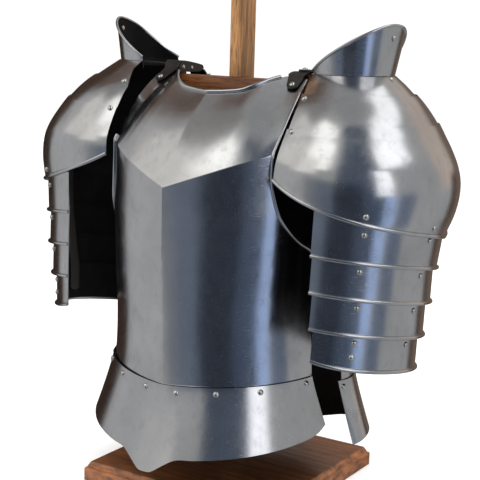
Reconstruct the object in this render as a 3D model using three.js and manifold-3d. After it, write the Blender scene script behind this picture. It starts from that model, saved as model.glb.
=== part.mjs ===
import * as THREE from "three";
import * as BufferGeometryUtils from "three/addons/utils/BufferGeometryUtils.js";
import Module from "manifold-3d";

const wasm = await Module();
wasm.setup();

// Steel cuirass with pauldrons on a wooden stand. Millimetres, +Z up. The origin is the middle of
// the base board's underside. The armour faces -Y and its left arm is at +X.

// Walls and clearances
const STEEL = 1.4;
const LEATHER = 2.4;
const FIT = 0.3;
const PLATE_PLAY = 0.8;
const ROLL_RADIUS = 2.6;
const RIVET_RADIUS = 4.4;
const RIVET_HEIGHT = 2.8;

// Stand
const BASE_SIDE = 318;
const BASE_THICKNESS = 30;
const MOULDING_STEP = 8.5;
const POST_WIDTH = 19;
const POST_DEPTH = 38;
const POST_HEIGHT = 785;
const CROSSBAR_LENGTH = 236;
const SADDLE_WIDTH = 24;
const SADDLE_HEIGHT = 10;
const SADDLE_DEPTH = 14;
const CROSSBAR_HEIGHT = 45;
const CROSSBAR_THICKNESS = 22;
const CROSSBAR_TOP = 605;

// Breastplate. Drops are measured down from the top of the crossbar, which carries the shoulders.
const TORSO_DROP = 433;
const WAIST_HALF_WIDTH = 164.5;
const CHEST_FRONT = 190;
const NECK_HALF_WIDTH = 97;
const NECK_FRONT = 88;
const NECK_DROP = 20;
const SHOULDER_TIP_X = 125;

// Backplate
const BACK_HALF_WIDTH = 200;
const BACK_REAR = 108;
const BACK_DROP = 427;

// Skirts below the waist
const FAULD_LAP = 16;
const FAULD_TOP_DROP = TORSO_DROP - FAULD_LAP;
const FAULD_LENGTH = 88;
const FAULD_FLARE = 27;
const CUSP_LENGTH = 23;
const CULET_LAP = 12;
const CULET_TOP_DROP = BACK_DROP - CULET_LAP;
const CULET_LENGTH = 92;
const CULET_FLARE = 24;

// Pauldrons
const PAULDRON_X = 188;
const PAULDRON_RADIUS = 146;
const PAULDRON_DROP = 193;
const ARM_RADIUS = 134.5;
const LAME_HEIGHT = 48;
const LAME_TUCK = 10;
const EDGE_TILT = 0.15;

// Leather
const STRAP_X = 109;
const STRAP_WIDTH = 28;
const PAULDRON_STRAP_WIDTH = 18;
const ARM_LEATHER_WIDTH = 24;

const radians = THREE.MathUtils.degToRad;

const finish = {
  steel: { color: 0xb9bbbe, roughness: 0.28, metalness: 1 },
  leather: { color: 0x17130f, roughness: 0.6, metalness: 0 },
  wood: { color: 0x6a3a22, roughness: 0.55, metalness: 0 },
};

function piece(name, geometry, surface) {
  const mesh = new THREE.Mesh(geometry, new THREE.MeshStandardMaterial(surface));
  mesh.name = name;
  return mesh;
}

// Joining and cutting closed meshes

function toSolid(geometry) {
  const bare = new THREE.BufferGeometry();
  bare.setAttribute("position", geometry.attributes.position);
  if (geometry.index) {
    bare.setIndex(geometry.index);
  }
  const merged = BufferGeometryUtils.mergeVertices(bare, 1e-4);
  return new wasm.Manifold(
    new wasm.Mesh({
      numProp: 3,
      vertProperties: new Float32Array(merged.attributes.position.array),
      triVerts: new Uint32Array(merged.index.array),
    }),
  );
}

function toGeometry(solid) {
  const mesh = solid.getMesh();
  const geometry = new THREE.BufferGeometry();
  geometry.setAttribute("position", new THREE.BufferAttribute(mesh.vertProperties, 3));
  geometry.setIndex(new THREE.BufferAttribute(mesh.triVerts, 1));
  return geometry;
}

function joined(first, others) {
  let solid = toSolid(first);
  for (const other of others) {
    solid = solid.add(toSolid(other));
  }
  return toGeometry(solid);
}

function cut(first, others) {
  let solid = toSolid(first);
  for (const other of others) {
    solid = solid.subtract(toSolid(other));
  }
  return toGeometry(solid);
}

// Reads a table's column at a place between its rows, along a smooth curve through them.
function tableValue(rows, place, column) {
  let index = 0;
  while (index < rows.length - 2 && rows[index + 1].at < place) {
    index += 1;
  }
  const slope = (low, high) => (rows[high][column] - rows[low][column]) / (rows[high].at - rows[low].at);
  const before = Math.max(index - 1, 0);
  const after = Math.min(index + 2, rows.length - 1);
  const span = rows[index + 1].at - rows[index].at;
  const t = THREE.MathUtils.clamp((place - rows[index].at) / span, 0, 1);
  const startSlope = slope(before, index + 1) * span;
  const endSlope = slope(index, after) * span;
  const square = t * t;
  const cube = square * t;
  return (
    (2 * cube - 3 * square + 1) * rows[index][column] +
    (cube - 2 * square + t) * startSlope +
    (3 * square - 2 * cube) * rows[index + 1][column] +
    (cube - square) * endSlope
  );
}

// Sheet metal and leather

// Outward normals of a grid of points, each the mean of the faces round it.
function gridNormals(points) {
  const rows = points.length;
  const columns = points[0].length;
  const normals = points.map((row) => row.map(() => new THREE.Vector3()));
  for (let j = 0; j < rows - 1; j += 1) {
    for (let i = 0; i < columns - 1; i += 1) {
      const across = points[j + 1][i + 1].clone().sub(points[j][i]);
      const up = points[j + 1][i].clone().sub(points[j][i + 1]);
      const normal = across.cross(up).normalize();
      normals[j][i].add(normal);
      normals[j][i + 1].add(normal);
      normals[j + 1][i].add(normal);
      normals[j + 1][i + 1].add(normal);
    }
  }
  normals.forEach((row) => row.forEach((normal) => normal.normalize()));
  return normals;
}

// A sheet given by its outer face, point(u, v) with u across and v up, both from 0 to 1. A beaded
// sheet has a rolled bead along its lower edge (bead 0) or its upper edge (bead 1).
function sheet(point, columns, rows, thickness, bead = null) {
  const length = point(0.5, 0).distanceTo(point(0.5, 1));
  const beadRows = [
    { away: 0, proud: 0.9 },
    { away: 1, proud: 1.45 },
    { away: 2.1, proud: 0 },
  ];
  const first = bead === null ? 0 : (2.1 * ROLL_RADIUS) / length;
  const levels = [];
  if (bead !== null) {
    beadRows.slice(0, 2).forEach((row) => {
      levels.push({ v: (row.away * ROLL_RADIUS) / length, proud: row.proud * ROLL_RADIUS });
    });
  }
  for (let j = 0; j <= rows; j += 1) {
    levels.push({ v: THREE.MathUtils.lerp(first, 1, j / rows), proud: 0 });
  }
  if (bead === 1) {
    levels.forEach((level) => {
      level.v = 1 - level.v;
    });
    levels.reverse();
  }
  rows = levels.length - 1;
  const grid = levels.map((level) => {
    const row = [];
    for (let i = 0; i <= columns; i += 1) {
      row.push(point(i / columns, level.v));
    }
    return row;
  });
  const normals = gridNormals(grid);
  const width = columns + 1;
  const layer = width * (rows + 1);
  const positions = [];
  for (const inner of [false, true]) {
    grid.forEach((row, j) =>
      row.forEach((vertex, i) => {
        const offset = inner ? -thickness : levels[j].proud;
        positions.push(...vertex.clone().addScaledVector(normals[j][i], offset).toArray());
      }),
    );
  }
  const index = [];
  const quad = (a, b, c, d) => index.push(a, b, c, a, c, d);
  for (let j = 0; j < rows; j += 1) {
    for (let i = 0; i < columns; i += 1) {
      const a = j * width + i;
      quad(a, a + 1, a + width + 1, a + width);
      quad(a + layer, a + layer + width, a + layer + width + 1, a + layer + 1);
    }
  }
  for (let i = 0; i < columns; i += 1) {
    const top = rows * width + i;
    quad(i, i + layer, i + layer + 1, i + 1);
    quad(top, top + 1, top + layer + 1, top + layer);
  }
  for (let j = 0; j < rows; j += 1) {
    const left = j * width;
    const right = left + columns;
    quad(left, left + width, left + layer + width, left + layer);
    quad(right, right + layer, right + layer + width, right + width);
  }
  const geometry = new THREE.BufferGeometry();
  geometry.setAttribute("position", new THREE.Float32BufferAttribute(positions, 3));
  geometry.setIndex(index);
  return geometry;
}

// The outward direction of such a sheet at one place.
function outward(point, u, v) {
  const step = 0.01;
  const uLow = Math.max(u - step, 0);
  const uHigh = Math.min(u + step, 1);
  const vLow = Math.max(v - step, 0);
  const vHigh = Math.min(v + step, 1);
  const across = point(uHigh, v).sub(point(uLow, v));
  const up = point(u, vHigh).sub(point(u, vLow));
  return across.cross(up).normalize();
}

// A round rolled edge along a stretch of a sheet's rim.
function roll(point, placeAt, steps) {
  const shape = new THREE.Shape();
  shape.absarc(0, 0, ROLL_RADIUS, 0, 2 * Math.PI);
  const path = [];
  for (let i = 0; i <= steps; i += 1) {
    const [u, v] = placeAt(i / steps);
    const normal = outward(point, u, v);
    path.push(point(u, v).addScaledVector(normal, ROLL_RADIUS - STEEL));
  }
  const curve = new THREE.CatmullRomCurve3(path);
  return new THREE.ExtrudeGeometry(shape, { steps, curveSegments: 2, extrudePath: curve });
}

// A domed rivet head on a sheet.
function rivet(point, u, v) {
  const sides = 6;
  const profile = [
    new THREE.Vector2(0, -STEEL / 2),
    new THREE.Vector2(RIVET_RADIUS, -STEEL / 2),
    new THREE.Vector2(RIVET_RADIUS * 0.72, RIVET_HEIGHT * 0.75),
    new THREE.Vector2(0, RIVET_HEIGHT),
  ];
  const head = new THREE.LatheGeometry(profile, sides);
  const turn = new THREE.Quaternion();
  turn.setFromUnitVectors(new THREE.Vector3(0, 1, 0), outward(point, u, v));
  head.applyQuaternion(turn);
  head.translate(...point(u, v).toArray());
  return head;
}

// A surface as the flat facets that a plate is made of, so that a rivet on it sits on the plate.
function faceted(point, columns, rows) {
  return (u, v) => {
    const column = Math.min(Math.floor(u * columns), columns - 1);
    const row = Math.min(Math.floor(v * rows), rows - 1);
    const across = u * columns - column;
    const edge = (level) => {
      const start = point(column / columns, level / rows);
      return start.lerp(point((column + 1) / columns, level / rows), across);
    };
    return edge(row).lerp(edge(row + 1), v * rows - row);
  };
}

function mirrored(geometry) {
  const copy = geometry.clone();
  copy.scale(-1, 1, 1);
  const index = copy.index.array;
  for (let i = 0; i < index.length; i += 3) {
    const first = index[i];
    index[i] = index[i + 1];
    index[i + 1] = first;
  }
  return copy;
}

// Torso plates

// Level sections of the front, from the V crease down to the lower edge. Down is a share of
// TORSO_DROP, lift and wide are shares of WAIST_HALF_WIDTH, front and axis are shares of
// CHEST_FRONT, ridge is how pointed the section is and reach is its half angle in degrees.
const FRONT_SECTIONS = [
  { at: 0.0, down: 0.328, lift: 0.36, wide: 0.967, front: 1.0, axis: 0.316, ridge: 0.35, reach: 56 },
  { at: 0.12, down: 0.381, lift: 0.29, wide: 0.97, front: 1.0, axis: 0.3, ridge: 0.3, reach: 55.5 },
  { at: 0.22, down: 0.427, lift: 0.255, wide: 0.98, front: 0.998, axis: 0.28, ridge: 0.26, reach: 56.5 },
  { at: 0.32, down: 0.478, lift: 0.22, wide: 0.99, front: 0.998, axis: 0.26, ridge: 0.22, reach: 59.5 },
  { at: 0.4, down: 0.52, lift: 0.19, wide: 0.995, front: 0.997, axis: 0.24, ridge: 0.19, reach: 65.5 },
  { at: 0.46, down: 0.552, lift: 0.17, wide: 0.995, front: 0.997, axis: 0.225, ridge: 0.17, reach: 72 },
  { at: 0.5, down: 0.573, lift: 0.155, wide: 0.995, front: 0.996, axis: 0.215, ridge: 0.155, reach: 79 },
  { at: 0.54, down: 0.592, lift: 0.15, wide: 0.994, front: 0.995, axis: 0.21, ridge: 0.15, reach: 83 },
  { at: 0.68, down: 0.681, lift: 0.12, wide: 0.985, front: 0.99, axis: 0.19, ridge: 0.12, reach: 83 },
  { at: 0.82, down: 0.785, lift: 0.09, wide: 0.975, front: 0.978, axis: 0.17, ridge: 0.1, reach: 83 },
  { at: 0.92, down: 0.889, lift: 0.07, wide: 0.982, front: 0.97, axis: 0.16, ridge: 0.08, reach: 83 },
  { at: 1.0, down: 1.0, lift: 0.06, wide: 1.0, front: 0.966, axis: 0.158, ridge: 0.04, reach: 83 },
];

function frontSection(place, share) {
  const value = (column) => tableValue(FRONT_SECTIONS, place, column);
  const angle = radians(value("reach")) * Math.abs(share);
  const ridge = value("ridge");
  const bow = (1 - ridge) * Math.cos(angle) + ridge * (1 - angle / (Math.PI / 2));
  const axis = value("axis") * CHEST_FRONT;
  const depth = value("front") * CHEST_FRONT - axis;
  return new THREE.Vector3(
    Math.sign(share) * value("wide") * WAIST_HALF_WIDTH * Math.sin(angle),
    -axis - depth * bow,
    CROSSBAR_TOP - value("down") * TORSO_DROP + value("lift") * WAIST_HALF_WIDTH * Math.sin(angle),
  );
}

// The neckline from its middle to the shoulder: x as a share of NECK_HALF_WIDTH, y of NECK_FRONT
// and drop of NECK_DROP.
const NECKLINE = [
  { at: 0.0, x: 0.0, y: 1.0, drop: 0.93 },
  { at: 0.25, x: 0.26, y: 0.91, drop: 0.86 },
  { at: 0.45, x: 0.5, y: 0.84, drop: 0.7 },
  { at: 0.57, x: 0.64, y: 0.76, drop: 0.42 },
  { at: 0.67, x: 0.76, y: 0.62, drop: 0.1 },
  { at: 0.77, x: 0.88, y: 0.42, drop: -0.2 },
  { at: 0.85, x: 1.0, y: 0.26, drop: -0.36 },
  { at: 0.93, x: 1.14, y: 0.25, drop: -0.33 },
  { at: 1.0, x: 1.28, y: 0.3, drop: -0.2 },
];

function neckPoint(share) {
  return new THREE.Vector3(
    tableValue(NECKLINE, share, "x") * NECK_HALF_WIDTH,
    -tableValue(NECKLINE, share, "y") * NECK_FRONT,
    CROSSBAR_TOP - tableValue(NECKLINE, share, "drop") * NECK_DROP,
  );
}

// A curve that leaves a and reaches c, drawn towards b.
function bent(a, b, c, t) {
  const start = a.clone().lerp(b, t);
  const end = b.clone().lerp(c, t);
  return start.lerp(end, t);
}

const CHEST_SWELL = new THREE.Vector3(0, -0.81 * CHEST_FRONT, CROSSBAR_TOP - 0.157 * TORSO_DROP);
const ARMHOLE_SWELL = new THREE.Vector3(1.09 * SHOULDER_TIP_X, -0.43 * CHEST_FRONT, CROSSBAR_TOP - 0.07 * TORSO_DROP);

// A sheet stretched between four edges: low and high at v 0 and 1, middle and side at u 0 and 1.
function stretched(low, high, middle, side, u, v) {
  const along = low(u).multiplyScalar(1 - v).add(high(u).multiplyScalar(v));
  const over = middle(v).multiplyScalar(1 - u).add(side(v).multiplyScalar(u));
  const corners = low(0).multiplyScalar((1 - u) * (1 - v));
  corners.add(low(1).multiplyScalar(u * (1 - v)));
  corners.add(high(0).multiplyScalar((1 - u) * v));
  corners.add(high(1).multiplyScalar(u * v));
  return along.add(over).sub(corners);
}

function upperChest(share, v) {
  const low = (u) => frontSection(0, u);
  const high = (u) => neckPoint(u);
  const middle = (t) => bent(low(0), CHEST_SWELL, high(0), t);
  const side = (t) => bent(low(1), ARMHOLE_SWELL, high(1), t);
  const half = stretched(low, high, middle, side, Math.abs(share), v);
  half.x *= Math.sign(share);
  return half;
}

const CREASE_AT = 0.62;

function breastPoint(u, v) {
  const share = 2 * u - 1;
  if (v < CREASE_AT) {
    return frontSection(1 - v / CREASE_AT, share);
  }
  return upperChest(share, (v - CREASE_AT) / (1 - CREASE_AT));
}

// Level sections of the back, from its shoulder blades down. Wide is a share of BACK_HALF_WIDTH,
// rear of BACK_REAR and down of BACK_DROP; reach is the half angle in degrees.
const BACK_SECTIONS = [
  { at: 0.0, down: 0.3, lift: 0.05, wide: 0.8, rear: 1.0, reach: 58 },
  { at: 0.25, down: 0.44, lift: 0.02, wide: 0.84, rear: 1.03, reach: 62 },
  { at: 0.4, down: 0.54, lift: 0.0, wide: 0.86, rear: 1.0, reach: 80 },
  { at: 0.48, down: 0.59, lift: 0.0, wide: 0.865, rear: 0.97, reach: 88 },
  { at: 0.75, down: 0.8, lift: 0.0, wide: 0.91, rear: 0.9, reach: 95 },
  { at: 1.0, down: 1.0, lift: 0.0, wide: 0.99, rear: 0.99, reach: 100 },
];

function backSection(place, share) {
  const value = (column) => tableValue(BACK_SECTIONS, place, column);
  const angle = radians(value("reach")) * share;
  const lift = value("lift") * BACK_DROP * Math.abs(Math.sin(angle));
  return new THREE.Vector3(
    value("wide") * BACK_HALF_WIDTH * Math.sin(angle),
    value("rear") * BACK_REAR * Math.cos(angle),
    CROSSBAR_TOP - value("down") * BACK_DROP + lift,
  );
}

const BACK_NECKLINE = [
  { at: 0.0, x: 0.0, y: 0.62, drop: 1.3 },
  { at: 0.35, x: 0.48, y: 0.56, drop: 1.1 },
  { at: 0.62, x: 0.82, y: 0.4, drop: 0.5 },
  { at: 0.8, x: 1.0, y: 0.38, drop: -0.4 },
  { at: 1.0, x: 1.28, y: 0.4, drop: -0.4 },
];

const BLADE_SWELL = new THREE.Vector3(0, 1.02 * BACK_REAR, CROSSBAR_TOP - 0.1 * BACK_DROP);
const BACK_ARMHOLE_SWELL = new THREE.Vector3(1.06 * SHOULDER_TIP_X, 0.75 * BACK_REAR, CROSSBAR_TOP - 0.06 * BACK_DROP);

function upperBack(share, v) {
  const low = (u) => backSection(0, u);
  const high = (u) =>
    new THREE.Vector3(
      tableValue(BACK_NECKLINE, u, "x") * NECK_HALF_WIDTH,
      tableValue(BACK_NECKLINE, u, "y") * BACK_REAR,
      CROSSBAR_TOP - tableValue(BACK_NECKLINE, u, "drop") * NECK_DROP,
    );
  const middle = (t) => bent(low(0), BLADE_SWELL, high(0), t);
  const side = (t) => bent(low(1), BACK_ARMHOLE_SWELL, high(1), t);
  const half = stretched(low, high, middle, side, Math.abs(share), v);
  half.x *= Math.sign(share);
  return half;
}

function backPoint(u, v) {
  const share = 1 - 2 * u;
  if (v < CREASE_AT) {
    return backSection(1 - v / CREASE_AT, share);
  }
  return upperBack(share, (v - CREASE_AT) / (1 - CREASE_AT));
}

// Where the neckline ends and the shoulder begins, as a share of half the plate's width.
const NECK_SHARE = 0.78;
const BACK_NECK_SHARE = 0.7;

function breastplate() {
  const plate = sheet(breastPoint, 20, 16, STEEL);
  const neck = (t) => [0.5 + 0.5 * NECK_SHARE * (2 * t - 1), 1];
  const armTop = 0.9;
  const armLow = CREASE_AT * (1 - 0.58);
  const arm = (u) => (t) => [u, THREE.MathUtils.lerp(armLow, armTop, t)];
  return joined(plate, [
    roll(breastPoint, neck, 16),
    roll(breastPoint, arm(0), 12),
    roll(breastPoint, arm(1), 12),
  ]);
}

function backplate() {
  const plate = sheet(backPoint, 16, 8, STEEL);
  const neck = (t) => [0.5 + 0.5 * BACK_NECK_SHARE * (2 * t - 1), 1];
  return joined(plate, [roll(backPoint, neck, 10)]);
}

// Skirts

// The fauld's lower edge: how far round it is, its length as a share of FAULD_LENGTH, and the
// cusp's drop as a share of CUSP_LENGTH.
const FAULD_EDGE = [
  { at: 0.0, long: 1.05, cusp: 1.0 },
  { at: 0.035, long: 1.05, cusp: 0.97 },
  { at: 0.1, long: 1.06, cusp: 0.45 },
  { at: 0.16, long: 1.07, cusp: 0.06 },
  { at: 0.25, long: 1.07, cusp: 0.0 },
  { at: 0.5, long: 1.02, cusp: 0.0 },
  { at: 0.8, long: 0.93, cusp: 0.0 },
  { at: 0.93, long: 0.87, cusp: 0.0 },
  { at: 1.0, long: 0.78, cusp: 0.0 },
];

function fauldPoint(u, v) {
  const share = 2 * u - 1;
  const around = Math.abs(share);
  const reach = radians(82);
  const angle = reach * share;
  const down = 1 - v;
  const length =
    tableValue(FAULD_EDGE, around, "long") * FAULD_LENGTH + tableValue(FAULD_EDGE, around, "cusp") * CUSP_LENGTH;
  const drop = down * length;
  const flare = FAULD_FLARE * (drop / FAULD_LENGTH) ** 1.15;
  const sweep = 0.12 * FAULD_LENGTH * down * around ** 6;
  const proud = STEEL + FIT;
  const axis = 0.158 * CHEST_FRONT;
  const front = 0.97 * CHEST_FRONT - axis + proud;
  const wide = WAIST_HALF_WIDTH + proud;
  const lift = 0.06 * WAIST_HALF_WIDTH * Math.sin(Math.abs(angle));
  return new THREE.Vector3(
    (wide + flare) * Math.sin(angle),
    -axis - (front + flare) * Math.cos(angle) + sweep,
    CROSSBAR_TOP - FAULD_TOP_DROP - drop + lift,
  );
}

function fauld() {
  const plate = sheet(fauldPoint, 26, 2, STEEL);
  const places = [-0.99, -0.8, -0.64, -0.355, -0.11, 0.11, 0.355, 0.62, 0.95];
  const heads = places.map((share) => rivet(fauldPoint, 0.5 + 0.5 * Math.sign(share) * Math.abs(share) * 0.985, 0.91));
  return joined(plate, heads);
}

// The culet's lower edge: how far round it is, and its length as a share of CULET_LENGTH.
const CULET_EDGE = [
  { at: 0.0, long: 1.3 },
  { at: 0.2, long: 1.25 },
  { at: 0.36, long: 1.05 },
  { at: 0.52, long: 0.9 },
  { at: 0.75, long: 0.91 },
  { at: 1.0, long: 1.0 },
];

// Where on the backplate's sections the culet's upper edge lies.
const CULET_SEAT = 0.985;

function culetPoint(u, v) {
  const share = 1 - 2 * u;
  const around = Math.abs(share);
  const angle = radians(104) * share;
  const down = 1 - v;
  const flare = CULET_FLARE * down ** 1.1;
  const proud = STEEL + FIT;
  const sweep = 0.16 * CULET_LENGTH * down * around ** 8;
  const wide = tableValue(BACK_SECTIONS, CULET_SEAT, "wide") * BACK_HALF_WIDTH + proud + flare;
  const rear = tableValue(BACK_SECTIONS, CULET_SEAT, "rear") * BACK_REAR + proud + flare;
  return new THREE.Vector3(
    wide * Math.sin(angle),
    rear * Math.cos(angle) + sweep,
    CROSSBAR_TOP - CULET_TOP_DROP - down * tableValue(CULET_EDGE, around, "long") * CULET_LENGTH,
  );
}

function culet() {
  const plate = sheet(culetPoint, 16, 2, STEEL);
  const heads = [0.018, 0.2, 0.38, 0.62, 0.8, 0.982].map((u) => rivet(culetPoint, u, 0.9));
  return joined(plate, heads);
}

// Pauldrons. Each is modelled for the left arm, at +X, and the right one is then mirrored.

// How each one hangs on its straps: the lift of the whole, the rise of its top ring over that, the
// height and outward lean of its upright guard, and how far its top ring reaches forwards, as a
// share of the table's.
const HANGS = {
  left: { lift: -6, rise: 6, guard: 63, lean: 0.2, reach: 1.05 },
  right: { lift: 6, rise: 0, guard: 57, lean: 0.12, reach: 0.89 },
};
const RISE_DOWN = 0.3;
const REACH_DOWN = 0.12;

// Level sections of the shoulder dome. Down is a share of PAULDRON_DROP below the crossbar's top,
// x is a share of PAULDRON_X, y and radius are shares of PAULDRON_RADIUS, and front and rear are
// how far the section reaches round, in degrees from straight outwards.
const DOME_SECTIONS = [
  { at: -0.06, x: 0.872, y: 0.171, radius: 0.466, front: 112, rear: 80 },
  { at: 0.036, x: 0.904, y: 0.13, radius: 0.596, front: 109, rear: 88 },
  { at: 0.13, x: 0.931, y: 0.089, radius: 0.712, front: 108, rear: 97 },
  { at: 0.254, x: 0.957, y: 0.055, radius: 0.822, front: 108, rear: 104 },
  { at: 0.482, x: 0.984, y: 0.014, radius: 0.966, front: 108, rear: 108 },
  { at: 0.648, x: 1.0, y: 0.014, radius: 1.0, front: 109, rear: 109 },
  { at: 0.83, x: 1.0, y: 0.0, radius: 0.978, front: 107, rear: 107 },
  { at: 1.0, x: 0.979, y: -0.03, radius: 0.932, front: 105, rear: 105 },
];

// How much of a side's own rise or reach is felt at a height on the dome.
function nearTop(down, fade) {
  return THREE.MathUtils.clamp(1 - down / fade, 0, 1);
}

function domeAngle(side, share, down) {
  const front = THREE.MathUtils.lerp(1, HANGS[side].reach, nearTop(down, REACH_DOWN));
  const reach = tableValue(DOME_SECTIONS, down, share < 0 ? "front" : "rear");
  return radians(reach) * share * (share < 0 ? front : 1);
}

function domePoint(side, share, down, inset) {
  const value = (column) => tableValue(DOME_SECTIONS, down, column);
  const angle = domeAngle(side, share, down);
  const radius = value("radius") * PAULDRON_RADIUS - inset;
  return new THREE.Vector3(
    value("x") * PAULDRON_X + radius * Math.cos(angle),
    value("y") * PAULDRON_RADIUS + radius * Math.sin(angle),
    CROSSBAR_TOP - down * PAULDRON_DROP + HANGS[side].rise * nearTop(down, RISE_DOWN),
  );
}

const LAYER = STEEL + PLATE_PLAY;

// A band of the dome: how far down it starts and ends, as shares of PAULDRON_DROP, and how far its
// face lies under the shoulder plate's, in layers measured level, and the facets down it.
const BANDS = {
  upper_lame_1: { top: -0.055, bottom: 0.105, layers: 2.9, rows: 2 },
  upper_lame_2: { top: 0.065, bottom: 0.325, layers: 1.25, rows: 3 },
  shoulder_plate: { top: 0.235, bottom: 0.98, layers: 0, rows: 5 },
};
const PLATE_DIP = 0.04;

function bandPoint(side, band) {
  return (u, v) => {
    const share = 2 * u - 1;
    const down = THREE.MathUtils.lerp(band.bottom, band.top, v);
    return domePoint(side, share, down, band.layers * LAYER);
  };
}

// The shoulder plate's lower edge leans down towards the rear and climbs to its corners. Its upper
// edge dips a little to them.
function shoulderPlatePoint(side) {
  const band = BANDS.shoulder_plate;
  return (u, v) => {
    const share = 2 * u - 1;
    const lean = EDGE_TILT * PAULDRON_RADIUS * Math.sin(radians(108) * share) * -1;
    const corner = 0.26 * PAULDRON_DROP * Math.abs(share) ** 3.4;
    const lowest = band.bottom - (lean + corner) / PAULDRON_DROP;
    const highest = band.top + PLATE_DIP * share ** 2;
    const down = THREE.MathUtils.lerp(lowest, highest, v);
    return domePoint(side, share, Math.min(down, 1), 0);
  };
}

const DOME_COLUMNS = 18;

function shoulderPlate(side) {
  const point = shoulderPlatePoint(side);
  const rows = BANDS.shoulder_plate.rows;
  const plate = sheet(point, DOME_COLUMNS, rows, STEEL, 0);
  const head = (u, v) => rivet(faceted(point, DOME_COLUMNS, rows), u, v);
  return joined(plate, [head(0.02, 0.96), head(0.98, 0.96), head(0.24, 0.09), head(0.45, 0.07), head(0.75, 0.09)]);
}

function upperLame(side, name) {
  const point = bandPoint(side, BANDS[name]);
  const rows = BANDS[name].rows;
  const plate = sheet(point, DOME_COLUMNS, rows, STEEL);
  const heads = name === "upper_lame_2" ? [0.02, 0.98] : [0.47];
  return joined(plate, heads.map((u) => rivet(faceted(point, DOME_COLUMNS, rows), u, 0.9)));
}

// The upright guard on the dome's top ring, highest straight outwards.
// How high the guard stands, as a share of its height in HANGS, from its front corner to its rear.
const HAUTE_PROFILE = [
  { at: -1.0, high: 0.03 },
  { at: -0.72, high: 0.42 },
  { at: -0.45, high: 0.78 },
  { at: -0.2, high: 1.01 },
  { at: 0.0, high: 1.0 },
  { at: 0.25, high: 0.84 },
  { at: 0.5, high: 0.53 },
  { at: 0.75, high: 0.21 },
  { at: 1.0, high: 0.0 },
];

const HAUTE_LAYERS = 3.1;
const TUCK_LEAN = 0.3;

function hautePoint(side) {
  const ring = DOME_SECTIONS[0].at;
  const tuck = 0.06 * PAULDRON_DROP;
  return (u, v) => {
    const share = 2 * u - 1;
    const angle = domeAngle(side, share, ring);
    const height = tableValue(HAUTE_PROFILE, share, "high") * HANGS[side].guard + 1.3 * tuck;
    const rise = v * height - tuck;
    const base = domePoint(side, share, ring, HAUTE_LAYERS * LAYER);
    const lean = (rise > 0 ? HANGS[side].lean : TUCK_LEAN) * rise;
    return base.add(new THREE.Vector3(lean * Math.cos(angle), lean * Math.sin(angle), rise));
  };
}

function hautePiece(side) {
  const point = hautePoint(side);
  const plate = sheet(point, DOME_COLUMNS, 2, STEEL, 1);
  return joined(plate, [rivet(faceted(point, DOME_COLUMNS, 2), 0.45, 0.78)]);
}

// Arm lames from the top down: x is a share of PAULDRON_X, y and radius are shares of ARM_RADIUS,
// at each lame's upper and lower end. Reach is the half angle in degrees.
const ARM_LAMES = [
  { topX: 0.975, topY: -0.052, topR: 1.011, lowX: 0.971, lowY: -0.1, lowR: 0.975, reach: 80.5 },
  { topX: 0.963, topY: -0.104, topR: 0.955, lowX: 0.957, lowY: -0.126, lowR: 0.958, reach: 79 },
  { topX: 0.935, topY: -0.122, topR: 0.943, lowX: 0.925, lowY: -0.141, lowR: 0.95, reach: 75.5 },
  { topX: 0.899, topY: -0.137, topR: 0.935, lowX: 0.888, lowY: -0.15, lowR: 0.94, reach: 71 },
];
const ARM_TOP_DROP = 184;

// The lames hang on leathers, each inside one of the lames' facets.
const LAME_COLUMNS = 14;
const LEATHER_FACETS = [2, 6, 11];

function lamePoint(number) {
  const row = ARM_LAMES[number];
  return (u, v) => {
    const share = 2 * u - 1;
    const angle = radians(row.reach) * share;
    const down = 1 - v;
    const mix = (top, low) => THREE.MathUtils.lerp(top, low, down);
    const radius = mix(row.topR, row.lowR) * ARM_RADIUS;
    const climb = 0.16 * LAME_HEIGHT * Math.abs(share) ** 5;
    const drop = ARM_TOP_DROP + number * LAME_HEIGHT + down * (LAME_HEIGHT + LAME_TUCK) - LAME_TUCK;
    return new THREE.Vector3(
      mix(row.topX, row.lowX) * PAULDRON_X + radius * Math.cos(angle),
      mix(row.topY, row.lowY) * ARM_RADIUS + radius * Math.sin(angle),
      CROSSBAR_TOP - drop - EDGE_TILT * radius * Math.sin(angle) + climb * (number === 3 ? 1 : 0.4),
    );
  };
}

function armLame(number) {
  const point = lamePoint(number);
  const plate = sheet(point, LAME_COLUMNS, 1, STEEL, 0);
  const head = (facet, v) => rivet(faceted(point, LAME_COLUMNS, 1), facet / LAME_COLUMNS, v);
  const additions = LEATHER_FACETS.map((facet) => head(facet + 0.5, 0.64));
  if (number === ARM_LAMES.length - 1) {
    additions.push(head(LEATHER_FACETS[0] + 0.4, 0.3));
  }
  return joined(plate, additions);
}

// Leather straps

// A strap through stations. Each is an even stretch from one edge of its outer face to the other.
function strapSheet(stations) {
  const point = (u, v) => {
    const station = stations[Math.round(v * (stations.length - 1))];
    return station.from.clone().lerp(station.to, u);
  };
  return sheet(point, 1, stations.length - 1, LEATHER);
}

// A station by its middle and the direction across it.
function station(middle, across, width) {
  const half = across.clone().multiplyScalar(width / 2);
  return { from: middle.clone().sub(half), to: middle.clone().add(half) };
}

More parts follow.
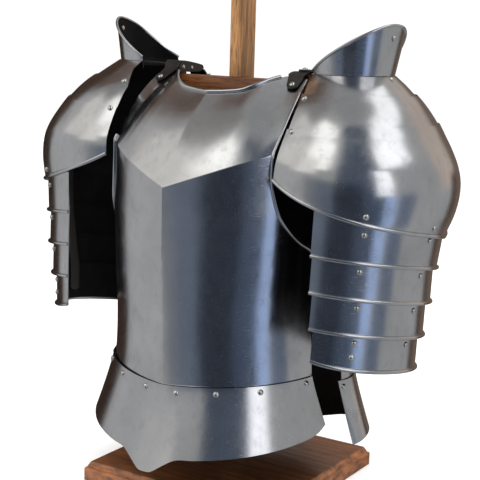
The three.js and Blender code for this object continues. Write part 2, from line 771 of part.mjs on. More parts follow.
// The shoulder strap is riveted on the breastplate, crosses its saddle and ends on the backplate.
function shoulderStrap() {
  const above = 5 * FIT + LEATHER;
  const half = STRAP_WIDTH / 2;
  const lying = (point, side, v) => {
    const edge = (share) => {
      const u = 0.5 + 0.5 * side * share;
      return point(u, v).addScaledVector(outward(point, u, v), above);
    };
    return { from: edge(0.83), to: edge(0.975) };
  };
  const top = CROSSBAR_TOP + SADDLE_HEIGHT + FIT + LEATHER;
  const middle = (CROSSBAR_THICKNESS - POST_DEPTH) / 2;
  const over = (y) => ({
    from: new THREE.Vector3(STRAP_X - half, y, top),
    to: new THREE.Vector3(STRAP_X + half, y, top),
  });
  return strapSheet([
    ...[0.92, 0.95, 0.98, 1.0].map((v) => lying(breastPoint, 1, v)),
    over(middle - SADDLE_DEPTH / 2 - 1),
    over(middle + SADDLE_DEPTH / 2 + 1),
    ...[1.0, 0.96, 0.92, 0.86].map((v) => lying(backPoint, -1, v)),
  ]);
}

// A strap from the shoulder strap to the inside of the pauldron's upright guard.
function pauldronStrap(side) {
  const top = CROSSBAR_TOP + SADDLE_HEIGHT + 2 * (LEATHER + FIT) + FIT;
  const inset = HAUTE_LAYERS * LAYER + STEEL + 8 * FIT;
  const width = PAULDRON_STRAP_WIDTH;
  const share = -0.8 / HANGS[side].reach;
  const wall = (down) => {
    const onWall = (at) => domePoint(side, at, DOME_SECTIONS[0].at, inset + TUCK_LEAN * down);
    const middle = onWall(share);
    const across = onWall(share - 0.05).sub(onWall(share + 0.05)).normalize();
    middle.z += HANGS[side].lift - down;
    return station(middle, across, width);
  };
  const flat = (x) => station(new THREE.Vector3(x, -8, top), new THREE.Vector3(0, -1, 0), width);
  const turning = new THREE.Vector3(-0.5, -0.87, 0);
  const bend = station(new THREE.Vector3(STRAP_X + 30, -14, top), turning, width);
  return strapSheet([flat(STRAP_X - 8), flat(STRAP_X + 16), bend, wall(0), wall(8)]);
}

// A leather inside the lames, flat against one facet of each.
function armLeather(facet) {
  const stations = [];
  ARM_LAMES.forEach((row, number) => {
    const point = lamePoint(number);
    const at = (v, extra) => {
      const a = point(facet / LAME_COLUMNS, v);
      const b = point((facet + 1) / LAME_COLUMNS, v);
      const inward = outward(point, (facet + 0.5) / LAME_COLUMNS, v).multiplyScalar(-STEEL - FIT - extra);
      const middle = a.clone().lerp(b, 0.5).add(inward);
      return station(middle, b.sub(a).normalize(), ARM_LEATHER_WIDTH);
    };
    stations.push(at(1, 0.2));
    if (number === ARM_LAMES.length - 1) {
      stations.push(at(0.25, 0.2));
    }
  });
  stations.unshift({
    from: stations[0].from.clone().lerp(stations[1].from, -0.3),
    to: stations[0].to.clone().lerp(stations[1].to, -0.3),
  });
  stations.reverse();
  return strapSheet(stations);
}

// Stand

function box(width, depth, height, x, y, z) {
  const geometry = new THREE.BoxGeometry(width, depth, height);
  geometry.translate(x, y, z);
  return geometry;
}

function baseBoard() {
  const half = BASE_SIDE / 2;
  const face = BASE_THICKNESS - MOULDING_STEP;
  const profile = [
    { inset: 1.5, z: 0 },
    { inset: 0, z: 1.5 },
    { inset: 0, z: face - 3 },
    { inset: 1, z: face - 1 },
    { inset: 3, z: face },
    { inset: 4.5, z: face + 0.4 * MOULDING_STEP },
    { inset: MOULDING_STEP - 1, z: BASE_THICKNESS - 1 },
    { inset: MOULDING_STEP, z: BASE_THICKNESS },
  ];
  const positions = [];
  const index = [];
  for (const row of profile) {
    const r = half - row.inset;
    positions.push(-r, -r, row.z, r, -r, row.z, r, r, row.z, -r, r, row.z);
  }
  for (let j = 0; j < profile.length - 1; j += 1) {
    for (let i = 0; i < 4; i += 1) {
      const a = 4 * j + i;
      const b = 4 * j + ((i + 1) % 4);
      index.push(a, b, b + 4, a, b + 4, a + 4);
    }
  }
  const top = 4 * (profile.length - 1);
  index.push(0, 2, 1, 0, 3, 2, top, top + 1, top + 2, top, top + 2, top + 3);
  const geometry = new THREE.BufferGeometry();
  geometry.setAttribute("position", new THREE.Float32BufferAttribute(positions, 3));
  geometry.setIndex(index);
  return geometry;
}

function post() {
  const foot = BASE_THICKNESS + FIT;
  const shaft = box(POST_WIDTH, POST_DEPTH, POST_HEIGHT - foot, 0, 0, (POST_HEIGHT + foot) / 2);
  const notchHeight = CROSSBAR_HEIGHT + 2 * FIT;
  const notchDepth = CROSSBAR_THICKNESS + FIT;
  const notch = box(
    3 * POST_WIDTH,
    2 * notchDepth,
    notchHeight,
    0,
    -POST_DEPTH / 2,
    CROSSBAR_TOP - CROSSBAR_HEIGHT / 2,
  );
  return cut(shaft, [notch]);
}

// The crossbar has a low saddle under each shoulder strap.
function crossbar() {
  const middle = (CROSSBAR_THICKNESS - POST_DEPTH) / 2;
  const saddle = (side) =>
    box(
      SADDLE_WIDTH,
      SADDLE_DEPTH,
      2 * SADDLE_HEIGHT,
      side * STRAP_X,
      middle,
      CROSSBAR_TOP,
    );
  const bar = box(
    CROSSBAR_LENGTH,
    CROSSBAR_THICKNESS,
    CROSSBAR_HEIGHT,
    0,
    middle,
    CROSSBAR_TOP - CROSSBAR_HEIGHT / 2,
  );
  return joined(bar, [saddle(1), saddle(-1)]);
}

// Assembly

const model = new THREE.Group();
const stand = new THREE.Group();
stand.add(piece("base_board", baseBoard(), finish.wood));
stand.add(piece("post", post(), finish.wood));
stand.add(piece("crossbar", crossbar(), finish.wood));
model.add(stand);

const torso = new THREE.Group();
torso.add(piece("breastplate", breastplate(), finish.steel));
torso.add(piece("backplate", backplate(), finish.steel));
torso.add(piece("fauld", fauld(), finish.steel));
torso.add(piece("culet", culet(), finish.steel));
model.add(torso);

const armLeatherNames = ["front_arm_leather", "outer_arm_leather", "rear_arm_leather"];

function pauldronPieces(side) {
  const shapes = {
    haute_piece: hautePiece(side),
    upper_lame_1: upperLame(side, "upper_lame_1"),
    upper_lame_2: upperLame(side, "upper_lame_2"),
    shoulder_plate: shoulderPlate(side),
  };
  armLeatherNames.forEach((name, number) => {
    shapes[name] = armLeather(LEATHER_FACETS[number]);
  });
  ARM_LAMES.forEach((row, number) => {
    shapes[`arm_lame_${number + 1}`] = armLame(number);
  });
  return shapes;
}

for (const side of ["left", "right"]) {
  const turned = (shape) => (side === "left" ? shape : mirrored(shape));
  const pauldron = new THREE.Group();
  pauldron.position.z = HANGS[side].lift;
  for (const [name, shape] of Object.entries(pauldronPieces(side))) {
    const surface = name.endsWith("leather") ? finish.leather : finish.steel;
    pauldron.add(piece(`${side}_${name}`, turned(shape), surface));
  }
  model.add(pauldron);
  model.add(piece(`${side}_shoulder_strap`, turned(shoulderStrap()), finish.leather));
  model.add(piece(`${side}_pauldron_strap`, turned(pauldronStrap(side)), finish.leather));
}

export default model;
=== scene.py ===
"""Steel cuirass with pauldrons on a wooden stand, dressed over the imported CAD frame."""

from math import cos, pi, radians, sin

import bpy
from mathutils import Matrix, Vector


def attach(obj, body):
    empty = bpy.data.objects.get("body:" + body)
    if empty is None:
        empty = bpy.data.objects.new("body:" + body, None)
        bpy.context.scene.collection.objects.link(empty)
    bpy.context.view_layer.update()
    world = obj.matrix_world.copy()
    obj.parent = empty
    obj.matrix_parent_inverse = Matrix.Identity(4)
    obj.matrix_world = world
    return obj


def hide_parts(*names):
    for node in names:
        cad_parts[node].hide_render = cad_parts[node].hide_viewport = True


bl_info = {
    "name": "Steel Cuirass on a Stand",
    "version": (1, 0, 0),
    "blender": (4, 5, 0),
    "location": "View3D > Sidebar > Cuirass",
    "description": "Builds a polished steel half armour on its wooden stand",
    "category": "Add Mesh",
}

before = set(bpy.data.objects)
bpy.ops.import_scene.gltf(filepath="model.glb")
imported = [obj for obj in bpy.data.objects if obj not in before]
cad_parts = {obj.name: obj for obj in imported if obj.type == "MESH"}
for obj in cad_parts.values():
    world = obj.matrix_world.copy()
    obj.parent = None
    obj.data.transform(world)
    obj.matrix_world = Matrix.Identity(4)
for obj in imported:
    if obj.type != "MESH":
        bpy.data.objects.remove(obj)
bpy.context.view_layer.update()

MM = 0.001

# Walls and clearances, in millimetres as in the CAD model
STEEL = 1.4
LEATHER = 2.4
FIT = 0.3
PLATE_PLAY = 0.8
LAYER = STEEL + PLATE_PLAY

# Stand
BASE_SIDE = 318
BASE_THICKNESS = 30
MOULDING_STEP = 8.5
POST_WIDTH = 19
POST_DEPTH = 38
POST_HEIGHT = 785
CROSSBAR_LENGTH = 236
CROSSBAR_HEIGHT = 45
CROSSBAR_THICKNESS = 22
CROSSBAR_TOP = 605
SADDLE_WIDTH = 24
SADDLE_HEIGHT = 10
SADDLE_DEPTH = 14

# Torso
TORSO_DROP = 433
WAIST_HALF_WIDTH = 164.5
CHEST_FRONT = 190
NECK_HALF_WIDTH = 97
NECK_FRONT = 88
NECK_DROP = 20
SHOULDER_TIP_X = 125
BACK_HALF_WIDTH = 200
BACK_REAR = 108
BACK_DROP = 427
FAULD_TOP_DROP = TORSO_DROP - 16
FAULD_LENGTH = 88
FAULD_FLARE = 27
CUSP_LENGTH = 23
CULET_TOP_DROP = BACK_DROP - 12
CULET_LENGTH = 92
CULET_FLARE = 24

# Pauldrons
PAULDRON_X = 188
PAULDRON_RADIUS = 146
PAULDRON_DROP = 193
ARM_RADIUS = 134.5
ARM_TOP_DROP = 184
LAME_HEIGHT = 48
LAME_TUCK = 10
EDGE_TILT = 0.15
HAUTE_LAYERS = 3.1
TUCK_LEAN = 0.3
RISE_DOWN = 0.3
REACH_DOWN = 0.12
# How each pauldron hangs: its lift, the rise of its top ring over that, its guard's height and
# outward lean, and its top ring's reach forwards, as a share of the table's
HANGS = {
    "left": {"lift": -6, "rise": 6, "guard": 63, "lean": 0.2, "reach": 1.05},
    "right": {"lift": 6, "rise": 0, "guard": 57, "lean": 0.12, "reach": 0.89},
}

# Leather
STRAP_X = 109
STRAP_WIDTH = 28
PAULDRON_STRAP_WIDTH = 18
ARM_LEATHER_WIDTH = 24
# An arm lame has this many facets in the CAD model, and the leathers lie behind three of them
LAME_COLUMNS = 14
LEATHER_FACETS = {"front_arm_leather": 2, "outer_arm_leather": 6, "rear_arm_leather": 11}

# Where the torso plates' upper and lower parts meet, as a share of the way up each plate
CREASE_AT = 0.62

# Waist: the height share of the section's axis, the front's reach, and the rise towards the sides
WAIST_AXIS = 0.158
WAIST_FRONT = 0.97
WAIST_LIFT = 0.06

# Half angles in degrees, and how strongly the skirts' and plates' ends sweep or climb
FAULD_REACH = 82
FAULD_CURVE = 1.15
FAULD_SWEEP = 0.12
CULET_REACH = 104
CULET_CURVE = 1.1
CULET_SWEEP = 0.16
PLATE_REACH = 108
CORNER_CLIMB = 0.26
CORNER_CURVE = 3.4
LAME_CLIMB = 0.16
INNER_LAME_CLIMB = 0.4
HAUTE_TUCK = 0.06
HAUTE_SPARE = 1.3

# Dressed details: eased and rolled edges, in millimetres or as shares of a plate or radius
CREASE_EASE = 1.4
WELD_REACH = 0.05
PLATE_SMOOTHING = 12
NECK_SHARE = 0.78
BACK_NECK_SHARE = 0.7
ARM_RIM_FROM = CREASE_AT * (1 - 0.58)
GUARD_RIM_SHARE = 0.75
GUARD_RIM_PROUD = 0.3
BEAD_PROUD = 0.9

# Rivets: shares across the skirts, and places across and up the other plates
FAULD_RIVETS = (-0.99, -0.8, -0.64, -0.355, -0.11, 0.11, 0.355, 0.62, 0.95)
CULET_RIVETS = (0.018, 0.2, 0.38, 0.62, 0.8, 0.982)
GUARD_RIVET = (0.45, 0.78)
UPPER_LAME_RIVETS = {"upper_lame_1": (0.47,), "upper_lame_2": (0.02, 0.98)}
SHOULDER_PLATE_RIVETS = ((0.02, 0.96), (0.98, 0.96), (0.24, 0.09), (0.45, 0.07), (0.75, 0.09))
LAME_RIVET_ROW = 0.64
LAST_RIVET_ROW = 0.3
FOLD_RIVETS = ((0.55, 0.3), (0.6, 0.72))

# How the leathers lie on and in the plates
TOP_LEATHER_INSET = 5.0
LEATHER_INSET = 1.3
LEATHER_OVERRUN = 0.3
STRAP_SHARES = (0.83, 0.975)
STRAP_FRONT_ROWS = (0.92, 0.95, 0.98, 1.0)
STRAP_REAR_ROWS = (1.0, 0.96, 0.92, 0.86)
STRAP_SWELLS = {"left": 0, "right": 6}
SLIM_SHARE = 0.62
FOLD_FROM = 0.36
FOLD_LENGTH = 0.3
FOLD_DROP = 16
FOLD_THICKNESS = 1.6
GUARD_ANCHOR = -0.8

# The base board's moulding, from its underside up: inset from its side, and height
BASE_FACE = BASE_THICKNESS - MOULDING_STEP
BASE_PROFILE = (
    (1.5, 0),
    (0.4, 0.5),
    (0, 1.5),
    (0, BASE_FACE - 3.5),
    (0.4, BASE_FACE - 1.8),
    (1.6, BASE_FACE - 0.6),
    (3.4, BASE_FACE),
    (3.8, BASE_FACE + 1.6),
    (4.8, BASE_FACE + 3.6),
    (6.2, BASE_THICKNESS - 2.4),
    (7.2, BASE_THICKNESS - 0.8),
    (MOULDING_STEP, BASE_THICKNESS),
)


# Tables


def rows(columns, *values):
    """A table as a list of dicts with named columns."""
    names = columns.split()
    return [dict(zip(names, row)) for row in values]


def table_value(table, place, column):
    """Reads a column at a place between rows, along a smooth curve through them."""
    index = 0
    while index < len(table) - 2 and table[index + 1]["at"] < place:
        index += 1

    def slope(low, high):
        rise = table[high][column] - table[low][column]
        return rise / (table[high]["at"] - table[low]["at"])

    before = max(index - 1, 0)
    after = min(index + 2, len(table) - 1)
    span = table[index + 1]["at"] - table[index]["at"]
    t = min(max((place - table[index]["at"]) / span, 0), 1)
    start_slope = slope(before, index + 1) * span
    end_slope = slope(index, after) * span
    square = t * t
    cube = square * t
    return (
        (2 * cube - 3 * square + 1) * table[index][column]
        + (cube - 2 * square + t) * start_slope
        + (3 * square - 2 * cube) * table[index + 1][column]
        + (cube - square) * end_slope
    )


FRONT_SECTIONS = rows(
    "at down lift wide front axis ridge reach",
    (0.0, 0.328, 0.36, 0.967, 1.0, 0.316, 0.35, 56),
    (0.12, 0.381, 0.29, 0.97, 1.0, 0.3, 0.3, 55.5),
    (0.22, 0.427, 0.255, 0.98, 0.998, 0.28, 0.26, 56.5),
    (0.32, 0.478, 0.22, 0.99, 0.998, 0.26, 0.22, 59.5),
    (0.4, 0.52, 0.19, 0.995, 0.997, 0.24, 0.19, 65.5),
    (0.46, 0.552, 0.17, 0.995, 0.997, 0.225, 0.17, 72),
    (0.5, 0.573, 0.155, 0.995, 0.996, 0.215, 0.155, 79),
    (0.54, 0.592, 0.15, 0.994, 0.995, 0.21, 0.15, 83),
    (0.68, 0.681, 0.12, 0.985, 0.99, 0.19, 0.12, 83),
    (0.82, 0.785, 0.09, 0.975, 0.978, 0.17, 0.1, 83),
    (0.92, 0.889, 0.07, 0.982, 0.97, 0.16, 0.08, 83),
    (1.0, 1.0, 0.06, 1.0, 0.966, 0.158, 0.04, 83),
)

NECKLINE = rows(
    "at x y drop",
    (0.0, 0.0, 1.0, 0.93),
    (0.25, 0.26, 0.91, 0.86),
    (0.45, 0.5, 0.84, 0.7),
    (0.57, 0.64, 0.76, 0.42),
    (0.67, 0.76, 0.62, 0.1),
    (0.77, 0.88, 0.42, -0.2),
    (0.85, 1.0, 0.26, -0.36),
    (0.93, 1.14, 0.25, -0.33),
    (1.0, 1.28, 0.3, -0.2),
)

BACK_SECTIONS = rows(
    "at down lift wide rear reach",
    (0.0, 0.3, 0.05, 0.8, 1.0, 58),
    (0.25, 0.44, 0.02, 0.84, 1.03, 62),
    (0.4, 0.54, 0.0, 0.86, 1.0, 80),
    (0.48, 0.59, 0.0, 0.865, 0.97, 88),
    (0.75, 0.8, 0.0, 0.91, 0.9, 95),
    (1.0, 1.0, 0.0, 0.99, 0.99, 100),
)

BACK_NECKLINE = rows(
    "at x y drop",
    (0.0, 0.0, 0.62, 1.3),
    (0.35, 0.48, 0.56, 1.1),
    (0.62, 0.82, 0.4, 0.5),
    (0.8, 1.0, 0.38, -0.4),
    (1.0, 1.28, 0.4, -0.4),
)

FAULD_EDGE = rows(
    "at long cusp",
    (0.0, 1.05, 1.0),
    (0.035, 1.05, 0.97),
    (0.1, 1.06, 0.45),
    (0.16, 1.07, 0.06),
    (0.25, 1.07, 0.0),
    (0.5, 1.02, 0.0),
    (0.8, 0.93, 0.0),
    (0.93, 0.87, 0.0),
    (1.0, 0.78, 0.0),
)

CULET_EDGE = rows(
    "at long",
    (0.0, 1.3),
    (0.2, 1.25),
    (0.36, 1.05),
    (0.52, 0.9),
    (0.75, 0.91),
    (1.0, 1.0),
)
CULET_SEAT = 0.985

DOME_SECTIONS = rows(
    "at x y radius front rear",
    (-0.06, 0.872, 0.171, 0.466, 112, 80),
    (0.036, 0.904, 0.13, 0.596, 109, 88),
    (0.13, 0.931, 0.089, 0.712, 108, 97),
    (0.254, 0.957, 0.055, 0.822, 108, 104),
    (0.482, 0.984, 0.014, 0.966, 108, 108),
    (0.648, 1.0, 0.014, 1.0, 109, 109),
    (0.83, 1.0, 0.0, 0.978, 107, 107),
    (1.0, 0.979, -0.03, 0.932, 105, 105),
)

BANDS = {
    "upper_lame_1": {"top": -0.055, "bottom": 0.105, "layers": 2.9},
    "upper_lame_2": {"top": 0.065, "bottom": 0.325, "layers": 1.25},
    "shoulder_plate": {"top": 0.235, "bottom": 0.98, "layers": 0},
}
PLATE_DIP = 0.04

HAUTE_PROFILE = rows(
    "at high",
    (-1.0, 0.03),
    (-0.72, 0.42),
    (-0.45, 0.78),
    (-0.2, 1.01),
    (0.0, 1.0),
    (0.25, 0.84),
    (0.5, 0.53),
    (0.75, 0.21),
    (1.0, 0.0),
)

ARM_LAMES = rows(
    "top_x top_y top_r low_x low_y low_r reach",
    (0.975, -0.052, 1.011, 0.971, -0.1, 0.975, 80.5),
    (0.963, -0.104, 0.955, 0.957, -0.126, 0.958, 79),
    (0.935, -0.122, 0.943, 0.925, -0.141, 0.95, 75.5),
    (0.899, -0.137, 0.935, 0.888, -0.15, 0.94, 71),
)


# Plate surfaces: each gives a point in millimetres for u across and v up, both from 0 to 1


def sign(value):
    """Minus one, zero or one."""
    return (value > 0) - (value < 0)


def front_section(place, share):
    """A point on the breastplate below its crease."""
    value = {name: table_value(FRONT_SECTIONS, place, name) for name in FRONT_SECTIONS[0]}
    angle = radians(value["reach"]) * abs(share)
    ridge = value["ridge"]
    bow = (1 - ridge) * cos(angle) + ridge * (1 - angle / (pi / 2))
    axis = value["axis"] * CHEST_FRONT
    depth = value["front"] * CHEST_FRONT - axis
    half = WAIST_HALF_WIDTH * sin(angle)
    return Vector(
        (
            sign(share) * value["wide"] * half,
            -axis - depth * bow,
            CROSSBAR_TOP - value["down"] * TORSO_DROP + value["lift"] * half,
        )
    )


def neck_point(share):
    """A point on the breastplate's upper edge."""
    return Vector(
        (
            table_value(NECKLINE, share, "x") * NECK_HALF_WIDTH,
            -table_value(NECKLINE, share, "y") * NECK_FRONT,
            CROSSBAR_TOP - table_value(NECKLINE, share, "drop") * NECK_DROP,
        )
    )


def bent(a, b, c, t):
    """A curve that leaves a and reaches c, drawn towards b."""
    return a.lerp(b, t).lerp(b.lerp(c, t), t)


def stretched(low, high, middle, side, u, v):
    """A sheet stretched between four edges."""
    along = low(u) * (1 - v) + high(u) * v
    over = middle(v) * (1 - u) + side(v) * u
    corners = low(0) * ((1 - u) * (1 - v)) + low(1) * (u * (1 - v))
    corners += high(0) * ((1 - u) * v) + high(1) * (u * v)
    return along + over - corners


CHEST_SWELL = Vector((0, -0.81 * CHEST_FRONT, CROSSBAR_TOP - 0.157 * TORSO_DROP))
ARMHOLE_SWELL = Vector((1.09 * SHOULDER_TIP_X, -0.43 * CHEST_FRONT, CROSSBAR_TOP - 0.07 * TORSO_DROP))
BLADE_SWELL = Vector((0, 1.02 * BACK_REAR, CROSSBAR_TOP - 0.1 * BACK_DROP))
BACK_ARMHOLE_SWELL = Vector((1.06 * SHOULDER_TIP_X, 0.75 * BACK_REAR, CROSSBAR_TOP - 0.06 * BACK_DROP))


def upper_chest(share, v):
    """A point on the breastplate above its crease."""

    def low(u):
        return front_section(0, u)

    def middle(t):
        return bent(low(0), CHEST_SWELL, neck_point(0), t)

    def side(t):
        return bent(low(1), ARMHOLE_SWELL, neck_point(1), t)

    half = stretched(low, neck_point, middle, side, abs(share), v)
    half.x *= sign(share)
    return half


def breast_point(u, v):
    """The breastplate's outer face."""
    share = 2 * u - 1
    if v < CREASE_AT:
        return front_section(1 - v / CREASE_AT, share)
    return upper_chest(share, (v - CREASE_AT) / (1 - CREASE_AT))


def back_section(place, share):
    """A point on the backplate below the shoulder blades."""
    angle = radians(table_value(BACK_SECTIONS, place, "reach")) * share
    lift = table_value(BACK_SECTIONS, place, "lift") * BACK_DROP * abs(sin(angle))
    return Vector(
        (
            table_value(BACK_SECTIONS, place, "wide") * BACK_HALF_WIDTH * sin(angle),
            table_value(BACK_SECTIONS, place, "rear") * BACK_REAR * cos(angle),
            CROSSBAR_TOP - table_value(BACK_SECTIONS, place, "down") * BACK_DROP + lift,
        )
    )


def back_neck_point(share):
    """A point on the backplate's upper edge."""
    return Vector(
        (
            table_value(BACK_NECKLINE, share, "x") * NECK_HALF_WIDTH,
            table_value(BACK_NECKLINE, share, "y") * BACK_REAR,
            CROSSBAR_TOP - table_value(BACK_NECKLINE, share, "drop") * NECK_DROP,
        )
    )


def upper_back(share, v):
    """A point on the backplate above the shoulder blades."""

    def low(u):
        return back_section(0, u)

    def middle(t):
        return bent(low(0), BLADE_SWELL, back_neck_point(0), t)

    def side(t):
        return bent(low(1), BACK_ARMHOLE_SWELL, back_neck_point(1), t)

    half = stretched(low, back_neck_point, middle, side, abs(share), v)
    half.x *= sign(share)
    return half


def back_point(u, v):
    """The backplate's outer face."""
    share = 1 - 2 * u
    if v < CREASE_AT:
        return back_section(1 - v / CREASE_AT, share)
    return upper_back(share, (v - CREASE_AT) / (1 - CREASE_AT))


def fauld_point(u, v):
    """The front skirt's outer face."""
    share = 2 * u - 1
    around = abs(share)
    angle = radians(FAULD_REACH) * share
    down = 1 - v
    length = table_value(FAULD_EDGE, around, "long") * FAULD_LENGTH
    length += table_value(FAULD_EDGE, around, "cusp") * CUSP_LENGTH
    drop = down * length
    flare = FAULD_FLARE * (drop / FAULD_LENGTH) ** FAULD_CURVE
    sweep = FAULD_SWEEP * FAULD_LENGTH * down * around**6
    proud = STEEL + FIT
    axis = WAIST_AXIS * CHEST_FRONT
    front = WAIST_FRONT * CHEST_FRONT - axis + proud
    return Vector(
        (
            (WAIST_HALF_WIDTH + proud + flare) * sin(angle),
            -axis - (front + flare) * cos(angle) + sweep,
            CROSSBAR_TOP - FAULD_TOP_DROP - drop + WAIST_LIFT * WAIST_HALF_WIDTH * sin(abs(angle)),
        )
    )


def culet_point(u, v):
    """The rear skirt's outer face."""
    share = 1 - 2 * u
    around = abs(share)
    angle = radians(CULET_REACH) * share
    down = 1 - v
    flare = CULET_FLARE * down**CULET_CURVE
    proud = STEEL + FIT
    sweep = CULET_SWEEP * CULET_LENGTH * down * around**8
    wide = table_value(BACK_SECTIONS, CULET_SEAT, "wide") * BACK_HALF_WIDTH + proud + flare
    rear = table_value(BACK_SECTIONS, CULET_SEAT, "rear") * BACK_REAR + proud + flare
    return Vector(
        (
            wide * sin(angle),
            rear * cos(angle) + sweep,
            CROSSBAR_TOP - CULET_TOP_DROP - down * table_value(CULET_EDGE, around, "long") * CULET_LENGTH,
        )
    )


def near_top(down, fade):
    """How much of a side's own rise or reach is felt at a height on the dome."""
    return min(max(1 - down / fade, 0), 1)


def dome_angle(side, share, down):
    """The level angle of a point on the shoulder dome, from straight outwards."""
    if share < 0:
        front = 1 + (HANGS[side]["reach"] - 1) * near_top(down, REACH_DOWN)
        return radians(table_value(DOME_SECTIONS, down, "front")) * share * front
    return radians(table_value(DOME_SECTIONS, down, "rear")) * share


def dome_point(side, share, down, inset):
    """A point on the shoulder dome of a pauldron, modelled for the left arm."""
    angle = dome_angle(side, share, down)
    radius = table_value(DOME_SECTIONS, down, "radius") * PAULDRON_RADIUS - inset
    return Vector(
        (
            table_value(DOME_SECTIONS, down, "x") * PAULDRON_X + radius * cos(angle),
            table_value(DOME_SECTIONS, down, "y") * PAULDRON_RADIUS + radius * sin(angle),
            CROSSBAR_TOP - down * PAULDRON_DROP + HANGS[side]["rise"] * near_top(down, RISE_DOWN),
        )
    )


def upper_lame_point(side, name):
    """The outer face of an upper lame."""
    band = BANDS[name]

    def point(u, v):
        down = band["bottom"] + (band["top"] - band["bottom"]) * v
        return dome_point(side, 2 * u - 1, down, band["layers"] * LAYER)

    return point


def shoulder_plate_point(side):
    """The shoulder plate's outer face. Its lower edge drops to the rear and climbs to its corners."""
    band = BANDS["shoulder_plate"]

    def point(u, v):
        share = 2 * u - 1
        lean = -EDGE_TILT * PAULDRON_RADIUS * sin(radians(PLATE_REACH) * share)
        corner = CORNER_CLIMB * PAULDRON_DROP * abs(share) ** CORNER_CURVE
        lowest = band["bottom"] - (lean + corner) / PAULDRON_DROP
        highest = band["top"] + PLATE_DIP * share**2
        down = lowest + (highest - lowest) * v
        return dome_point(side, share, min(down, 1), 0)

    return point


def haute_point(side):
    """The upright guard's outer face."""
    ring = DOME_SECTIONS[0]["at"]
    tuck = HAUTE_TUCK * PAULDRON_DROP

    def point(u, v):
        share = 2 * u - 1
        angle = dome_angle(side, share, ring)
        height = table_value(HAUTE_PROFILE, share, "high") * HANGS[side]["guard"]
        height += HAUTE_SPARE * tuck
        rise = v * height - tuck
        base = dome_point(side, share, ring, HAUTE_LAYERS * LAYER)
        lean = (HANGS[side]["lean"] if rise > 0 else TUCK_LEAN) * rise
        return base + Vector((lean * cos(angle), lean * sin(angle), rise))

    return point


def lame_point(number):
    """The outer face of an arm lame."""
    row = ARM_LAMES[number]

    def point(u, v):
        share = 2 * u - 1
        angle = radians(row["reach"]) * share
        down = 1 - v
        radius = (row["top_r"] + (row["low_r"] - row["top_r"]) * down) * ARM_RADIUS
        climb = LAME_CLIMB * LAME_HEIGHT * abs(share) ** 5
        if number < len(ARM_LAMES) - 1:
            climb *= INNER_LAME_CLIMB
        drop = ARM_TOP_DROP + number * LAME_HEIGHT + down * (LAME_HEIGHT + LAME_TUCK) - LAME_TUCK
        return Vector(
            (
                (row["top_x"] + (row["low_x"] - row["top_x"]) * down) * PAULDRON_X + radius * cos(angle),
                (row["top_y"] + (row["low_y"] - row["top_y"]) * down) * ARM_RADIUS + radius * sin(angle),
                CROSSBAR_TOP - drop - EDGE_TILT * radius * sin(angle) + climb,
            )
        )

    return point


def outward(point, u, v):
    """The outward direction of a surface at one place."""
    step = 0.004
    across = point(min(u + step, 1), v) - point(max(u - step, 0), v)
    up = point(u, min(v + step, 1)) - point(u, max(v - step, 0))
    return across.cross(up).normalized()


# Modelling helpers


def select_only(*objects):
    """Selects these objects and makes the first one active."""
    bpy.ops.object.select_all(action="DESELECT")
    for obj in objects:
        obj.select_set(True)
    bpy.context.view_layer.objects.active = objects[0]


def apply_modifier(obj, kind, **settings):
    """Adds a modifier with these settings and applies it."""
    select_only(obj)
    bpy.ops.object.modifier_add(type=kind)
    modifier = obj.modifiers[-1]
    for name, value in settings.items():
        setattr(modifier, name, value)
    bpy.ops.object.modifier_apply(modifier=modifier.name)


def ease_edges(obj, width, segments, degrees):
    """Bevels the edges that turn more sharply than this, by a width in millimetres."""
    limit = {"limit_method": "ANGLE", "angle_limit": radians(degrees)}
    apply_modifier(obj, "BEVEL", width=width * MM, segments=segments, **limit)


def flip_faces(obj):
    """Turns all of a mesh's faces round."""
    select_only(obj)
    bpy.ops.object.mode_set(mode="EDIT")
    bpy.ops.mesh.select_all(action="SELECT")
    bpy.ops.mesh.flip_normals()
    bpy.ops.object.mode_set(mode="OBJECT")


def shade(obj, degrees):
    """Shades a mesh smooth, except where it turns more sharply than this."""
    select_only(obj)
    bpy.ops.object.shade_smooth_by_angle(angle=radians(degrees))


def grid(name, point, columns, row_count):
    """A subdivided grid laid over a surface."""
    bpy.ops.mesh.primitive_grid_add(x_subdivisions=columns, y_subdivisions=row_count, size=1)
    obj = bpy.context.object
    obj.name = name
    for vertex in obj.data.vertices:
        vertex.co = point(vertex.co.x + 0.5, vertex.co.y + 0.5) * MM
    return obj


def plate(name, point, columns, row_count):
    """A steel plate with its polished face on a surface and black paint inside."""
    obj = grid(name, point, columns, row_count)
    for finish in ("hand_polished_steel", "black_paint"):
        obj.data.materials.append(finishes()[finish])
    # The shoulder plate's lowest rows meet, and a wall drawn from such rows has spikes
    apply_modifier(obj, "WELD", merge_threshold=WELD_REACH * MM)
    apply_modifier(
        obj,
        "SOLIDIFY",
        thickness=STEEL * MM,
        offset=-1,
        use_even_offset=True,
        material_offset=1,
        material_offset_rim=0,
    )
    shade(obj, PLATE_SMOOTHING)
    return obj


def tube(path, radius):
    """A round steel rod along a path of points in millimetres, closed at both ends."""
    curve = bpy.data.curves.new("rod", "CURVE")
    curve.dimensions = "3D"
    curve.bevel_depth = radius * MM
    curve.bevel_resolution = 4
    curve.use_fill_caps = True
    spline = curve.splines.new("POLY")
    spline.points.add(len(path) - 1)
    for spot, place in zip(spline.points, path):
        spot.co = (*(place * MM), 1)
    obj = bpy.data.objects.new("rod", curve)
    bpy.context.scene.collection.objects.link(obj)
    select_only(obj)
    bpy.ops.object.convert(target="MESH")
    obj = bpy.context.object
    obj.data.materials.append(finishes()["hand_polished_steel"])
    shade(obj, 50)
    return obj


